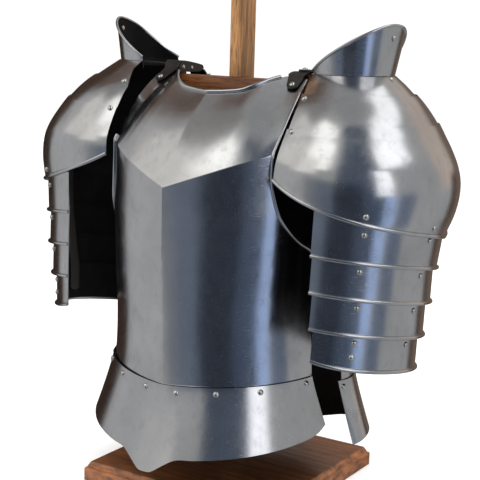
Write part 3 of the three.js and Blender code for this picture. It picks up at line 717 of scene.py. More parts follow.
def edge_roll(point, start, end, steps, share=1.0, proud=None):
    """A rolled edge between two places on a surface's rim, as a share of the usual radius."""
    radius = share * bpy.context.scene.cuirass.roll_radius / MM
    away = radius - STEEL if proud is None else proud
    path = []
    for step in range(steps + 1):
        u, v = (low + (high - low) * step / steps for low, high in zip(start, end))
        path.append(point(u, v) + outward(point, u, v) * away)
    return tube(path, radius)


def rivet(point, u, v):
    """A domed rivet head on a surface."""
    settings = bpy.context.scene.cuirass
    bpy.ops.mesh.primitive_uv_sphere_add(segments=20, ring_count=12, radius=1)
    head = bpy.context.object
    head.data.materials.append(finishes()["nickel_rivet"])
    turn = outward(point, u, v).to_track_quat("Z", "Y").to_matrix().to_4x4()
    size = Matrix.Diagonal((settings.rivet_radius, settings.rivet_radius, settings.rivet_height, 1))
    head.data.transform(Matrix.Translation(point(u, v) * MM) @ turn @ size)
    shade(head, 60)
    return head


def joined(obj, others):
    """Joins the others into the first mesh."""
    select_only(obj, *others)
    bpy.ops.object.join()
    return bpy.context.object


def moved(obj, lift=0, mirror=False):
    """Moves a mesh up by some millimetres and mirrors it to the other side."""
    matrix = Matrix.Translation((0, 0, lift * MM))
    if mirror:
        matrix = Matrix.Diagonal((-1, 1, 1, 1)) @ matrix
    obj.data.transform(matrix)
    if mirror:
        flip_faces(obj)
    return obj


def twin(obj, name):
    """A copy of an object with a mesh of its own."""
    copy = obj.copy()
    copy.data = obj.data.copy()
    copy.name = name
    bpy.context.scene.collection.objects.link(copy)
    return copy


def settle(obj, node):
    """Puts a finished piece on the frame in place of its CAD node."""
    obj.name = node + "_dressed"
    obj.data.name = obj.name
    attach(obj, "root")
    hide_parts(node)


# Materials. Sizes of patterns are in millimetres

RANGE = "ShaderNodeMapRange"
MATHS = "ShaderNodeMath"
MIX = "ShaderNodeMix"
BUMP = "ShaderNodeBump"


def linear(code):
    """A linear colour from an sRGB hex code."""
    channels = [int(code[i : i + 2], 16) / 255 for i in (0, 2, 4)]
    return tuple(c / 12.92 if c <= 0.04045 else ((c + 0.055) / 1.055) ** 2.4 for c in channels) + (1,)


def toned(colour, factor):
    """A colour made lighter or darker."""
    return tuple(min(channel * factor, 1) for channel in colour[:3]) + (1,)


def add(tree, kind, inputs=(), **settings):
    """Adds a node with its settings. Its inputs come in order, or by name or number."""
    node = tree.nodes.new(kind)
    for name, value in settings.items():
        setattr(node, name, value)
    for name, value in inputs.items() if isinstance(inputs, dict) else enumerate(inputs):
        if isinstance(value, bpy.types.NodeSocket):
            tree.links.new(value, node.inputs[name])
        else:
            node.inputs[name].default_value = value
    return node


def new_tree(name, colour):
    """The empty node tree of a new material, which has this colour in the viewport."""
    material = bpy.data.materials.new(name)
    material.use_nodes = True
    material.diffuse_color = colour
    material.node_tree.nodes.clear()
    return material.node_tree


def finish_tree(tree, inputs):
    """Ends a material's tree with its shader and output."""
    shader = add(tree, "ShaderNodeBsdfPrincipled", inputs)
    add(tree, "ShaderNodeOutputMaterial", {"Surface": shader.outputs[0]})


def pattern(tree, size, kind="ShaderNodeTexNoise", turn=(0, 0, 0), **inputs):
    """A pattern in object space whose features are about this large along each axis."""
    place = add(tree, "ShaderNodeTexCoord").outputs["Object"]
    scale = tuple(1 / (s * MM) for s in size)
    turned = add(tree, "ShaderNodeMapping", {"Vector": place, "Rotation": turn}).outputs[0]
    scaled = add(tree, "ShaderNodeMapping", {"Vector": turned, "Scale": scale}).outputs[0]
    return add(tree, kind, {"Vector": scaled, "Scale": 1.0, **inputs}).outputs[0]


def scratches(tree, size, turn, above):
    """Sparse thin marks: the crests of a long narrow pattern."""
    marks = pattern(tree, size, turn=turn, Detail=2.0, Roughness=0.6)
    return add(tree, RANGE, (marks, above, above + 0.05, 0, 1)).outputs[0]


def polished_steel(colour):
    """The outer faces, rolled rims and beads of the plates."""
    # Mild steel, polished by hand: a neutral metal that mirrors its surroundings. Polishing leaves
    # soft ripples that bend the reflections and fine upright brush marks that blur them. Handling
    # leaves smudges, stray scratches and patches of short scuffs. Real brush marks and scratches are
    # finer than a pixel, so both are drawn coarser.
    tree = new_tree("hand_polished_steel", colour)
    cloud = pattern(tree, (60, 60, 60), Detail=4.0)
    smudge = pattern(tree, (14, 14, 22), Detail=5.0, Roughness=0.65)
    patch = add(tree, RANGE, (cloud, 0.35, 0.7, 0, 1)).outputs[0]
    tones = {0: patch, 6: toned(colour, 0.94), 7: toned(colour, 1.1)}
    tint = add(tree, MIX, tones, data_type="RGBA").outputs[2]
    touched = add(tree, RANGE, (smudge, 0.52, 0.8, 0, 0.4)).outputs[0]
    tones = {0: touched, 6: tint, 7: toned(colour, 0.62)}
    tint = add(tree, MIX, tones, data_type="RGBA").outputs[2]

    brushed = pattern(tree, (0.7, 0.7, 38), Detail=3.0)
    stray = scratches(tree, (0.5, 30, 0.5), (0.5, 0.3, 0.9), 0.68)
    other = scratches(tree, (26, 0.4, 0.4), (0.2, 0.8, 0.3), 0.7)
    scuff = scratches(tree, (3.2, 0.5, 3.2), (0.9, 0.2, 0.6), 0.67)
    handled = pattern(tree, (46, 46, 46), Detail=2.0)
    worn = add(tree, RANGE, (handled, 0.56, 0.68, 0, 1)).outputs[0]
    scuffs = add(tree, MATHS, (scuff, worn), operation="MULTIPLY").outputs[0]
    marks = add(tree, MATHS, (stray, other), operation="MAXIMUM").outputs[0]
    marks = add(tree, MATHS, (marks, scuffs), operation="MAXIMUM").outputs[0]

    blur = add(tree, RANGE, (smudge, 0.3, 0.8, 0.15, 0.25)).outputs[0]
    stroke_blur = add(tree, RANGE, (brushed, 0.3, 0.7, -0.02, 0.03)).outputs[0]
    mark_blur = add(tree, RANGE, (marks, 0, 1, 0, 0.14)).outputs[0]
    rough = add(tree, MATHS, (blur, stroke_blur)).outputs[0]
    rough = add(tree, MATHS, (rough, mark_blur)).outputs[0]

    ripple = pattern(tree, (40, 40, 150), Detail=1.0)
    stroke_height = add(tree, RANGE, (brushed, 0, 1, 0, 0.006)).outputs[0]
    mark_height = add(tree, RANGE, (marks, 0, 1, 0, -0.03)).outputs[0]
    height = add(tree, MATHS, (ripple, stroke_height)).outputs[0]
    height = add(tree, MATHS, (height, mark_height)).outputs[0]
    relief = add(tree, BUMP, {"Height": height, "Distance": 0.5 * MM, "Strength": 0.55}).outputs[0]
    finish_tree(tree, {"Base Color": tint, "Metallic": 1.0, "Roughness": rough, "Normal": relief})


def black_paint(colour):
    """The plates' inner faces."""
    # Black oil paint, brushed on: it swallows nearly all light, and a little dust lies in its strokes
    tree = new_tree("black_paint", colour)
    dust = pattern(tree, (30, 30, 30), Detail=5.0)
    dusty = add(tree, RANGE, (dust, 0.45, 0.75, 0, 1)).outputs[0]
    tones = {0: dusty, 6: toned(colour, 0.7), 7: toned(colour, 2.2)}
    tint = add(tree, MIX, tones, data_type="RGBA").outputs[2]
    stroke = pattern(tree, (1.5, 1.5, 24), Detail=3.0)
    rough = add(tree, RANGE, (stroke, 0.3, 0.7, 0.5, 0.68)).outputs[0]
    relief = add(tree, BUMP, {"Height": stroke, "Distance": 0.06 * MM, "Strength": 0.5}).outputs[0]
    finish_tree(
        tree, {"Base Color": tint, "Specular IOR Level": 0.15, "Roughness": rough, "Normal": relief}
    )


def nickel():
    """The rivet heads."""
    # Nickel plating, a bright metal that is slightly warmer than the steel, with tiny dings
    tree = new_tree("nickel_rivet", linear("D4D2CC"))
    ding = pattern(tree, (2.2, 2.2, 2.2), Detail=3.0)
    rough = add(tree, RANGE, (ding, 0.3, 0.7, 0.12, 0.24)).outputs[0]
    dull = add(tree, RANGE, (ding, 0.5, 0.8, 0, 1)).outputs[0]
    tones = {0: dull, 6: linear("D8D6D0"), 7: linear("9C9A96")}
    tint = add(tree, MIX, tones, data_type="RGBA").outputs[2]
    relief = add(tree, BUMP, {"Height": ding, "Distance": 0.12 * MM, "Strength": 0.5}).outputs[0]
    finish_tree(tree, {"Base Color": tint, "Metallic": 1.0, "Roughness": rough, "Normal": relief})


def leather(colour):
    """The straps and the leathers inside the lames."""
    # Bridle leather, dyed black and waxed: a pebbled grain, soft creases and a dull gloss
    tree = new_tree("black_bridle_leather", colour)
    grain = pattern(tree, (1.1, 1.1, 1.1), "ShaderNodeTexVoronoi", Randomness=1.0)
    cloud = pattern(tree, (16, 16, 16), Detail=4.0)
    faded = add(tree, RANGE, (cloud, 0.4, 0.75, 0, 1)).outputs[0]
    tones = {0: faded, 6: toned(colour, 0.8), 7: toned(colour, 3.2)}
    tint = add(tree, MIX, tones, data_type="RGBA").outputs[2]
    rough = add(tree, RANGE, (cloud, 0.3, 0.7, 0.34, 0.5)).outputs[0]
    pebble = add(tree, RANGE, (grain, 0, 0.8, 0, 1)).outputs[0]
    crease = add(tree, RANGE, (cloud, 0, 1, 0, 1.2)).outputs[0]
    height = add(tree, MATHS, (pebble, crease)).outputs[0]
    relief = add(tree, BUMP, {"Height": height, "Distance": 0.16 * MM, "Strength": 0.7}).outputs[0]
    finish_tree(
        tree, {"Base Color": tint, "Specular IOR Level": 0.55, "Roughness": rough, "Normal": relief}
    )


def board_rim(tree):
    """The share of wear on the base board's moulded rim, in patches."""
    place = add(tree, "ShaderNodeTexCoord").outputs["Object"]
    parts = add(tree, "ShaderNodeSeparateXYZ", (place,)).outputs
    across = [add(tree, MATHS, (part,), operation="ABSOLUTE").outputs[0] for part in parts[:2]]
    out = add(tree, MATHS, across, operation="MAXIMUM").outputs[0]
    edge = BASE_SIDE / 2 - MOULDING_STEP
    soft_edge = (out, (edge - 1) * MM, (edge + 3) * MM, 0, 1)
    rim = add(tree, RANGE, soft_edge, interpolation_type="SMOOTHSTEP").outputs[0]
    rubbed = pattern(tree, (22, 22, 9), Detail=4.0)
    worn = add(tree, RANGE, (rubbed, 0.36, 0.62, 0, 0.7)).outputs[0]
    return add(tree, MATHS, (rim, worn), operation="MULTIPLY").outputs[0]


def stained_wood(name, along, light):
    """The post, or the base board and crossbar, with the grain along one axis."""
    # Softwood, stained and varnished: dark and light streaks, fine dark pores, and a satin coat. The
    # base board's rim is rubbed pale
    tree = new_tree(name, light)
    dark = toned(light, 0.3)
    wide = [7, 7, 7]
    wide[along] = 160
    fine = [0.9, 0.9, 0.9]
    fine[along] = 26
    figure = pattern(tree, wide, Detail=4.0, Roughness=0.6, Distortion=0.6)
    pores = pattern(tree, fine, Detail=3.0, Roughness=0.7)
    patch = pattern(tree, (70, 70, 70), Detail=2.0)
    streak = add(tree, RANGE, (figure, 0.3, 0.7, 0, 1), interpolation_type="SMOOTHSTEP").outputs[0]
    tint = add(tree, MIX, {0: streak, 6: dark, 7: light}, data_type="RGBA").outputs[2]
    shaded = add(tree, RANGE, (patch, 0.35, 0.75, 0, 0.45)).outputs[0]
    tint = add(tree, MIX, {0: shaded, 6: tint, 7: dark}, data_type="RGBA").outputs[2]
    pitted = add(tree, RANGE, (pores, 0.5, 0.66, 0, 0.85)).outputs[0]
    tint = add(tree, MIX, {0: pitted, 6: tint, 7: linear("2E170C")}, data_type="RGBA").outputs[2]
    if along == 0:
        tones = {0: board_rim(tree), 6: tint, 7: toned(light, 1.7)}
        tint = add(tree, MIX, tones, data_type="RGBA").outputs[2]
    rough = add(tree, RANGE, (pores, 0.3, 0.7, 0.36, 0.52)).outputs[0]
    height = add(tree, MATHS, (figure, pores)).outputs[0]
    relief = add(tree, BUMP, {"Height": height, "Distance": 0.25 * MM, "Strength": 0.5}).outputs[0]
    coat = {"Coat Weight": 0.25, "Coat Roughness": 0.22}
    finish_tree(tree, {"Base Color": tint, "Roughness": rough, "Normal": relief, **coat})


def finishes():
    """Every material by name, made once."""
    settings = bpy.context.scene.cuirass
    if "hand_polished_steel" not in bpy.data.materials:
        polished_steel(tuple(settings.steel_colour))
        black_paint(tuple(settings.paint_colour))
        nickel()
        leather(tuple(settings.leather_colour))
        stained_wood("wood_upright", 2, tuple(settings.post_colour))
        stained_wood("wood_level", 0, tuple(settings.base_colour))
    return bpy.data.materials


# Settings


def colour_setting(name, description, code):
    """A colour that the user can change."""
    return bpy.props.FloatVectorProperty(
        name=name,
        description=description,
        subtype="COLOR",
        size=4,
        min=0.0,
        max=1.0,
        default=linear(code),
    )


def length_setting(name, description, default, low, high):
    """A length that the user can change, given in millimetres and kept in metres."""
    return bpy.props.FloatProperty(
        name=name,
        description=description,
        subtype="DISTANCE",
        unit="LENGTH",
        precision=4,
        default=default * MM,
        min=low * MM,
        max=high * MM,
    )


class CuirassSettings(bpy.types.PropertyGroup):
    """Sizes of the dressed details and the finishes' colours."""

    roll_radius: length_setting("Rolled Edge Radius", "Radius of the rolled rims and beads", 2.6, 1, 4)
    rivet_radius: length_setting("Rivet Radius", "Radius of the domed rivet heads", 4.2, 2, 6)
    rivet_height: length_setting("Rivet Height", "How far a rivet head stands proud", 2.8, 1, 4)
    steel_colour: colour_setting("Steel", "Colour of the polished steel face on", "C2C3C6")
    paint_colour: colour_setting("Inner Paint", "Colour of the black paint inside the plates", "060607")
    leather_colour: colour_setting("Leather", "Colour of the straps and inner leathers", "0E0C0B")
    post_colour: colour_setting("Post", "Colour of the post's wood where it is lightest", "C08A54")
    base_colour: colour_setting("Level Boards", "Lightest colour of the base and crossbar", "8E5834")


# Steel plates


class CUIRASS_OT_torso(bpy.types.Operator):
    """Builds the breastplate and the backplate with their rolled rims"""

    bl_idname = "cuirass.torso"
    bl_label = "Torso Plates"

    def execute(self, context):
        front = plate("breastplate", breast_point, 120, 100)
        ease_edges(front, CREASE_EASE, 3, 24)
        shade(front, PLATE_SMOOTHING)
        neck_from, neck_to = (0.5 - NECK_SHARE / 2, 1), (0.5 + NECK_SHARE / 2, 1)
        rims = [edge_roll(breast_point, neck_from, neck_to, 70)]
        for u, arm_high in ((0, CREASE_AT + 0.02), (1, 0.9)):
            rims.append(edge_roll(breast_point, (u, ARM_RIM_FROM), (u, arm_high), 70))
        settle(joined(front, rims), "breastplate")

        back = plate("backplate", back_point, 120, 80)
        nape_from, nape_to = (0.5 - BACK_NECK_SHARE / 2, 1), (0.5 + BACK_NECK_SHARE / 2, 1)
        rim = edge_roll(back_point, nape_from, nape_to, 60)
        settle(joined(back, [rim]), "backplate")
        return {"FINISHED"}


class CUIRASS_OT_skirts(bpy.types.Operator):
    """Builds the front and rear skirts with their rivets"""

    bl_idname = "cuirass.skirts"
    bl_label = "Skirts"

    def execute(self, context):
        skirt = plate("fauld", fauld_point, 160, 24)
        heads = [rivet(fauld_point, 0.5 + 0.4925 * share, 0.91) for share in FAULD_RIVETS]
        settle(joined(skirt, heads), "fauld")
        skirt = plate("culet", culet_point, 140, 20)
        heads = [rivet(culet_point, u, 0.9) for u in CULET_RIVETS]
        settle(joined(skirt, heads), "culet")
        return {"FINISHED"}


class CUIRASS_OT_pauldrons(bpy.types.Operator):
    """Builds both pauldrons: upright guards, upper lames, shoulder plates and arm lames"""

    bl_idname = "cuirass.pauldrons"
    bl_label = "Pauldrons"

    def execute(self, context):
        for side, hang in HANGS.items():
            for name, obj in self.pieces(side).items():
                settle(moved(obj, hang["lift"], side == "right"), f"{side}_{name}")
        return {"FINISHED"}

    def pieces(self, side):
        """One pauldron's plates by name, modelled for the left arm."""
        made = {}
        point = haute_point(side)
        guard = plate("haute", point, 72, 30)
        rim = edge_roll(point, (0, 1), (1, 1), 70, GUARD_RIM_SHARE, GUARD_RIM_PROUD)
        made["haute_piece"] = joined(guard, [rim, rivet(point, *GUARD_RIVET)])
        for name, shares in UPPER_LAME_RIVETS.items():
            point = upper_lame_point(side, name)
            lame = plate(name, point, 80, 12)
            made[name] = joined(lame, [rivet(point, u, 0.9) for u in shares])
        point = shoulder_plate_point(side)
        dome = plate("dome", point, 96, 60)
        rim = edge_roll(point, (0, 0), (1, 0), 80, proud=BEAD_PROUD)
        heads = [rivet(point, u, v) for u, v in SHOULDER_PLATE_RIVETS]
        made["shoulder_plate"] = joined(dome, [rim, *heads])
        for number in range(len(ARM_LAMES)):
            point = lame_point(number)
            lame = plate("lame", point, 80, 10)
            extras = [edge_roll(point, (0, 0), (1, 0), 80, proud=BEAD_PROUD)]
            for facet in LEATHER_FACETS.values():
                extras.append(rivet(point, (facet + 0.5) / LAME_COLUMNS, LAME_RIVET_ROW))
            if number == len(ARM_LAMES) - 1:
                u = (LEATHER_FACETS["front_arm_leather"] + 0.4) / LAME_COLUMNS
                extras.append(rivet(point, u, LAST_RIVET_ROW))
            made[f"arm_lame_{number + 1}"] = joined(lame, extras)
        return made


# Straps and leathers


def smooth_path(stations, t):
    """A point on a smooth curve through stations."""
    last = len(stations) - 1
    index = min(int(t * last), last - 1)
    local = t * last - index
    a = stations[max(index - 1, 0)]
    b, c = stations[index], stations[index + 1]
    d = stations[min(index + 2, last)]
    bend = (2 * a - 5 * b + 4 * c - d) * local**2 + (3 * b - a - 3 * c + d) * local**3
    return 0.5 * (2 * b + (c - a) * local + bend)


def hide_sheet(name, point, columns, row_count, thickness=LEATHER):
    """A sheet of leather with eased edges."""
    obj = grid(name, point, columns, row_count)
    obj.data.materials.append(finishes()["black_bridle_leather"])
    apply_modifier(obj, "SOLIDIFY", thickness=thickness * MM, offset=-1)
    ease_edges(obj, 0.5, 2, 50)
    shade(obj, 45)
    return obj


def strap(name, edges, columns, row_count, round_start=0.0, round_end=0.0, slim_start=0.0):
    """A strap between two edge paths, and its surface. Its ends are rounded or slimmer."""
    low = [edge[0] for edge in edges]
    high = [edge[1] for edge in edges]

    def taper(v):
        half = 1.0
        if slim_start and v < slim_start:
            half = SLIM_SHARE + (1 - SLIM_SHARE) * v / slim_start
        if round_start and v < round_start:
            half *= max(1 - (1 - v / round_start) ** 2, 0) ** 0.5
        if round_end and v > 1 - round_end:
            half = max(1 - (1 - (1 - v) / round_end) ** 2, 0) ** 0.5
        return max(half, 0.05)

    def point(u, v):
        start, end = smooth_path(low, v), smooth_path(high, v)
        return start.lerp(end, 0.5 + (u - 0.5) * taper(v))

    return hide_sheet(name, point, columns, row_count), point


def arm_leather_edges(facet):
    """The edge paths of a leather that lies inside the arm lames, behind one column of rivets."""
    middle = (facet + 0.5) / LAME_COLUMNS
    edges = []
    for number in range(len(ARM_LAMES)):
        point = lame_point(number)
        inside = STEEL + FIT + (TOP_LEATHER_INSET if number == 0 else LEATHER_INSET)
        for v in (1, 0.25) if number == len(ARM_LAMES) - 1 else (1,):
            across = (point(middle + 0.01, v) - point(middle - 0.01, v)).normalized()
            spot = point(middle, v) - outward(point, middle, v) * inside
            half = across * ARM_LEATHER_WIDTH / 2
            edges.append((spot - half, spot + half))
    first = tuple(edges[0][i].lerp(edges[1][i], -LEATHER_OVERRUN) for i in (0, 1))
    return list(reversed([first, *edges]))


def shoulder_strap_edges(swell):
    """The edge paths of the strap from breastplate to backplate, which swells over its saddle."""
    above = 5 * FIT + LEATHER

    def lying(point, side, v):
        edges = []
        for share in STRAP_SHARES:
            u = 0.5 + 0.5 * side * share
            edges.append(point(u, v) + outward(point, u, v) * above)
        return tuple(edges)

    top = CROSSBAR_TOP + SADDLE_HEIGHT + FIT + LEATHER + swell
    middle = (CROSSBAR_THICKNESS - POST_DEPTH) / 2
    half = STRAP_WIDTH / 2

    def over(y):
        return Vector((STRAP_X - half, y, top)), Vector((STRAP_X + half, y, top))

    front = [lying(breast_point, 1, v) for v in STRAP_FRONT_ROWS]
    rear = [lying(back_point, -1, v) for v in STRAP_REAR_ROWS]
    reach = SADDLE_DEPTH / 2 + 1
    return [*front, over(middle - reach), over(middle + reach), *rear]


def strap_fold(edge):
    """The strap's inner edge where it is folded down beside the neck."""

    def point(u, v):
        top = smooth_path(edge, FOLD_FROM + FOLD_LENGTH * v)
        hang = 1.0 + FOLD_DROP * u * sin(pi * min(max(v, 0.01), 0.99)) ** 0.25
        return top + Vector((-1.2 - 0.6 * u, 0, -hang + 0.6))

    return point


def pauldron_strap_edges(side):
    """The edge paths of the strap from the shoulder strap to the inside of the upright guard."""
    top = CROSSBAR_TOP + SADDLE_HEIGHT + 2 * (LEATHER + FIT) + FIT
    inset = HAUTE_LAYERS * LAYER + STEEL + 8 * FIT
    half = PAULDRON_STRAP_WIDTH / 2
    ring = DOME_SECTIONS[0]["at"]
    share = GUARD_ANCHOR / HANGS[side]["reach"]

    def wall(down):
        deeper = inset + TUCK_LEAN * down
        middle = dome_point(side, share, ring, deeper)
        before, after = (dome_point(side, share + step, ring, deeper) for step in (-0.05, 0.05))
        across = (before - after).normalized()
        middle.z += HANGS[side]["lift"] - down
        return middle - across * half, middle + across * half

    def flat(x, y, across):
        return Vector((x, y, top)) - across * half, Vector((x, y, top)) + across * half

    straight = Vector((0, -1, 0))
    turning = Vector((-0.5, -0.87, 0))
    bend = flat(STRAP_X + 30, -14, turning)
    return [flat(STRAP_X - 8, -8, straight), flat(STRAP_X + 16, -8, straight), bend, wall(0), wall(8)]


class CUIRASS_OT_leathers(bpy.types.Operator):
    """Builds the shoulder straps, the pauldron straps and the leathers inside the lames"""

    bl_idname = "cuirass.leathers"
    bl_label = "Leathers"

    def execute(self, context):
        for name, facet in LEATHER_FACETS.items():
            obj = strap(name, arm_leather_edges(facet), 6, 60, 0.04)[0]
            right = moved(twin(obj, name), HANGS["right"]["lift"], True)
            settle(moved(obj, HANGS["left"]["lift"]), "left_" + name)
            settle(right, "right_" + name)
        for side, swell in STRAP_SWELLS.items():
            edges = shoulder_strap_edges(swell)
            obj, point = strap("shoulder_strap", edges, 10, 90, 0.07, 0.05, 0.3)
            extras = [rivet(point, 0.5, v) for v in (0.075, 0.93)]
            if side == "right":
                fold = strap_fold([edge[0] for edge in edges])
                extras.append(hide_sheet("fold", fold, 6, 40, FOLD_THICKNESS))
                extras += [rivet(fold, u, v) for u, v in FOLD_RIVETS]
            obj = moved(joined(obj, extras), 0, side == "right")
            settle(obj, side + "_shoulder_strap")
        for side in HANGS:
            obj, point = strap("pauldron_strap", pauldron_strap_edges(side), 8, 60, 0.12)
            obj = moved(joined(obj, [rivet(point, 0.5, 0.1)]), 0, side == "right")
            settle(obj, side + "_pauldron_strap")
        return {"FINISHED"}


# Stand


def block(name, low, high, material):
    """A wooden block between two corners in millimetres."""
    bpy.ops.mesh.primitive_cube_add(size=1)
    obj = bpy.context.object
    obj.name = name
    middle = (Vector(low) + Vector(high)) / 2
    size = [b - a for a, b in zip(low, high)]
    obj.data.transform(Matrix.Translation(middle * MM) @ Matrix.Diagonal((*(s * MM for s in size), 1)))
    obj.data.materials.append(finishes()[material])
    return obj


class CUIRASS_OT_stand(bpy.types.Operator):
    """Builds the stand's moulded base board, post and crossbar"""

    bl_idname = "cuirass.stand"
    bl_label = "Wooden Stand"

    def execute(self, context):
        self.base_board()
        self.post()
        self.crossbar()
        return {"FINISHED"}

    def base_board(self):
        """A square board with a moulded upper edge, drawn up from its underside."""
        profile = rows("inset high", *BASE_PROFILE)
        half = BASE_SIDE / 2
        bpy.ops.mesh.primitive_plane_add(size=2 * (half - profile[0]["inset"]) * MM)
        board = bpy.context.object
        bpy.ops.object.mode_set(mode="EDIT")
        bpy.ops.mesh.select_all(action="SELECT")
        for lower, upper in zip(profile, profile[1:]):
            ratio = (half - upper["inset"]) / (half - lower["inset"])
            rise = {"value": (0, 0, (upper["high"] - lower["high"]) * MM)}
            bpy.ops.mesh.extrude_region_move(TRANSFORM_OT_translate=rise)
            centre = (0, 0, upper["high"] * MM)
            bpy.ops.transform.resize(value=(ratio, ratio, 1), center_override=centre)
        bpy.ops.mesh.select_all(action="SELECT")
        bpy.ops.mesh.normals_make_consistent(inside=False)
        bpy.ops.object.mode_set(mode="OBJECT")
        board.data.materials.append(finishes()["wood_level"])
        ease_edges(board, 0.6, 2, 60)
        shade(board, 35)
        settle(board, "base_board")

    def post(self):
        """An upright with a notch for the crossbar."""
        front, rear = -POST_DEPTH / 2, POST_DEPTH / 2
        half = POST_WIDTH / 2
        foot = BASE_THICKNESS + FIT
        post = block("post", (-half, front, foot), (half, rear, POST_HEIGHT), "wood_upright")
        low = (-2 * half, front - 5, CROSSBAR_TOP - CROSSBAR_HEIGHT - FIT)
        high = (2 * half, front + CROSSBAR_THICKNESS + FIT, CROSSBAR_TOP + FIT)
        notch = block("notch", low, high, "wood_upright")
        apply_modifier(post, "BOOLEAN", operation="DIFFERENCE", object=notch, solver="EXACT")
        bpy.data.objects.remove(notch)
        ease_edges(post, 0.9, 3, 40)
        shade(post, 40)
        settle(post, "post")

    def crossbar(self):
        """A level bar with a saddle under each shoulder strap."""
        front = -POST_DEPTH / 2
        reach = CROSSBAR_LENGTH / 2
        behind = front + CROSSBAR_THICKNESS
        low, high = (-reach, front, CROSSBAR_TOP - CROSSBAR_HEIGHT), (reach, behind, CROSSBAR_TOP)
        bar = block("crossbar", low, high, "wood_level")
        ease_edges(bar, 1.2, 3, 40)
        middle = (front + behind) / 2
        saddles = []
        for x in (-STRAP_X, STRAP_X):
            low = (x - SADDLE_WIDTH / 2, middle - SADDLE_DEPTH / 2, CROSSBAR_TOP - 0.5)
            high = (x + SADDLE_WIDTH / 2, middle + SADDLE_DEPTH / 2, CROSSBAR_TOP + SADDLE_HEIGHT)
            saddles.append(block("saddle", low, high, "wood_level"))
            ease_edges(saddles[-1], 0.8, 3, 40)
        bar = joined(bar, saddles)
        shade(bar, 40)
        settle(bar, "crossbar")


# Floor, light and camera

CAMERA_PLACE = (921.5, -1442.8, 686.3)
CAMERA_HEADING = 32.42
CAMERA_PITCH = 10.645
CAMERA_ROLL = 1.655
CAMERA_LENS = 87.875

FLOOR_RADIUS = 6.0
FLOOR_GLOW = 0.22
ROOM_STRENGTH = 1.8
BACKDROP_STRENGTH = 1.05

# Each lamp's azimuth from +X and height in degrees, distance and size in metres, and power in watts
LAMPS = (
    ("key", 300, 45, 2.3, (1.0, 0.8), 20),
    ("fill", 205, 30, 2.4, (1.3, 1.6), 14),
    ("rear", 60, 40, 2.4, (1.3, 1.3), 12),
)

# The room that the steel mirrors: each screen's or window's azimuth from +X and height, its half
# width and half height and its soft edge, all in degrees, and its colour
SCREENS = (
    (15, -4, 32, 44, 14, "888887"),
    (70, 20, 18, 16, 12, "A0948A"),
    (40, 62, 50, 7, 6, "FAFAF8"),
    (78, -10, 9, 11, 8, "43372F"),
    (98, -4, 14, 20, 10, "5A4D45"),
    (146, 4, 19, 34, 9, "3A2B22"),
    (152, -10, 24, 16, 9, "2A1E18"),
    (208, 0, 24, 50, 12, "949493"),
    (210, 52, 14, 5, 7, "E2E0DC"),
    (185, 60, 34, 7, 10, "757371"),
    (167, 50, 7, 7, 10, "54463F"),
    (249, 46, 17, 15, 5, "FFFDF6"),
    (240, 30, 11, 12, 7, "CFCCC6"),
    (212, 36, 14, 10, 9, "BDBAB4"),
    (258, -16, 8, 16, 10, "666A70"),
    (270, -18, 9, 18, 8, "565E6A"),
    (303, 22, 21, 44, 6, "3F4753"),
    (318, -14, 12, 15, 7, "394353"),
    (292, -13, 12, 13, 9, "262B34"),
    (331, 17, 7, 16, 5, "FCFDFF"),
    (338, -16, 4, 11, 5, "8EA2C4"),
    (357, -16, 6, 12, 7, "525B6A"),
    (357, 52, 22, 9, 6, "FFFFFF"),
)


def heading_vector(azimuth, elevation):
    """A direction by its azimuth from +X and its height, in degrees."""
    around, up = radians(azimuth), radians(elevation)
    return Vector((cos(up) * cos(around), cos(up) * sin(around), sin(up)))


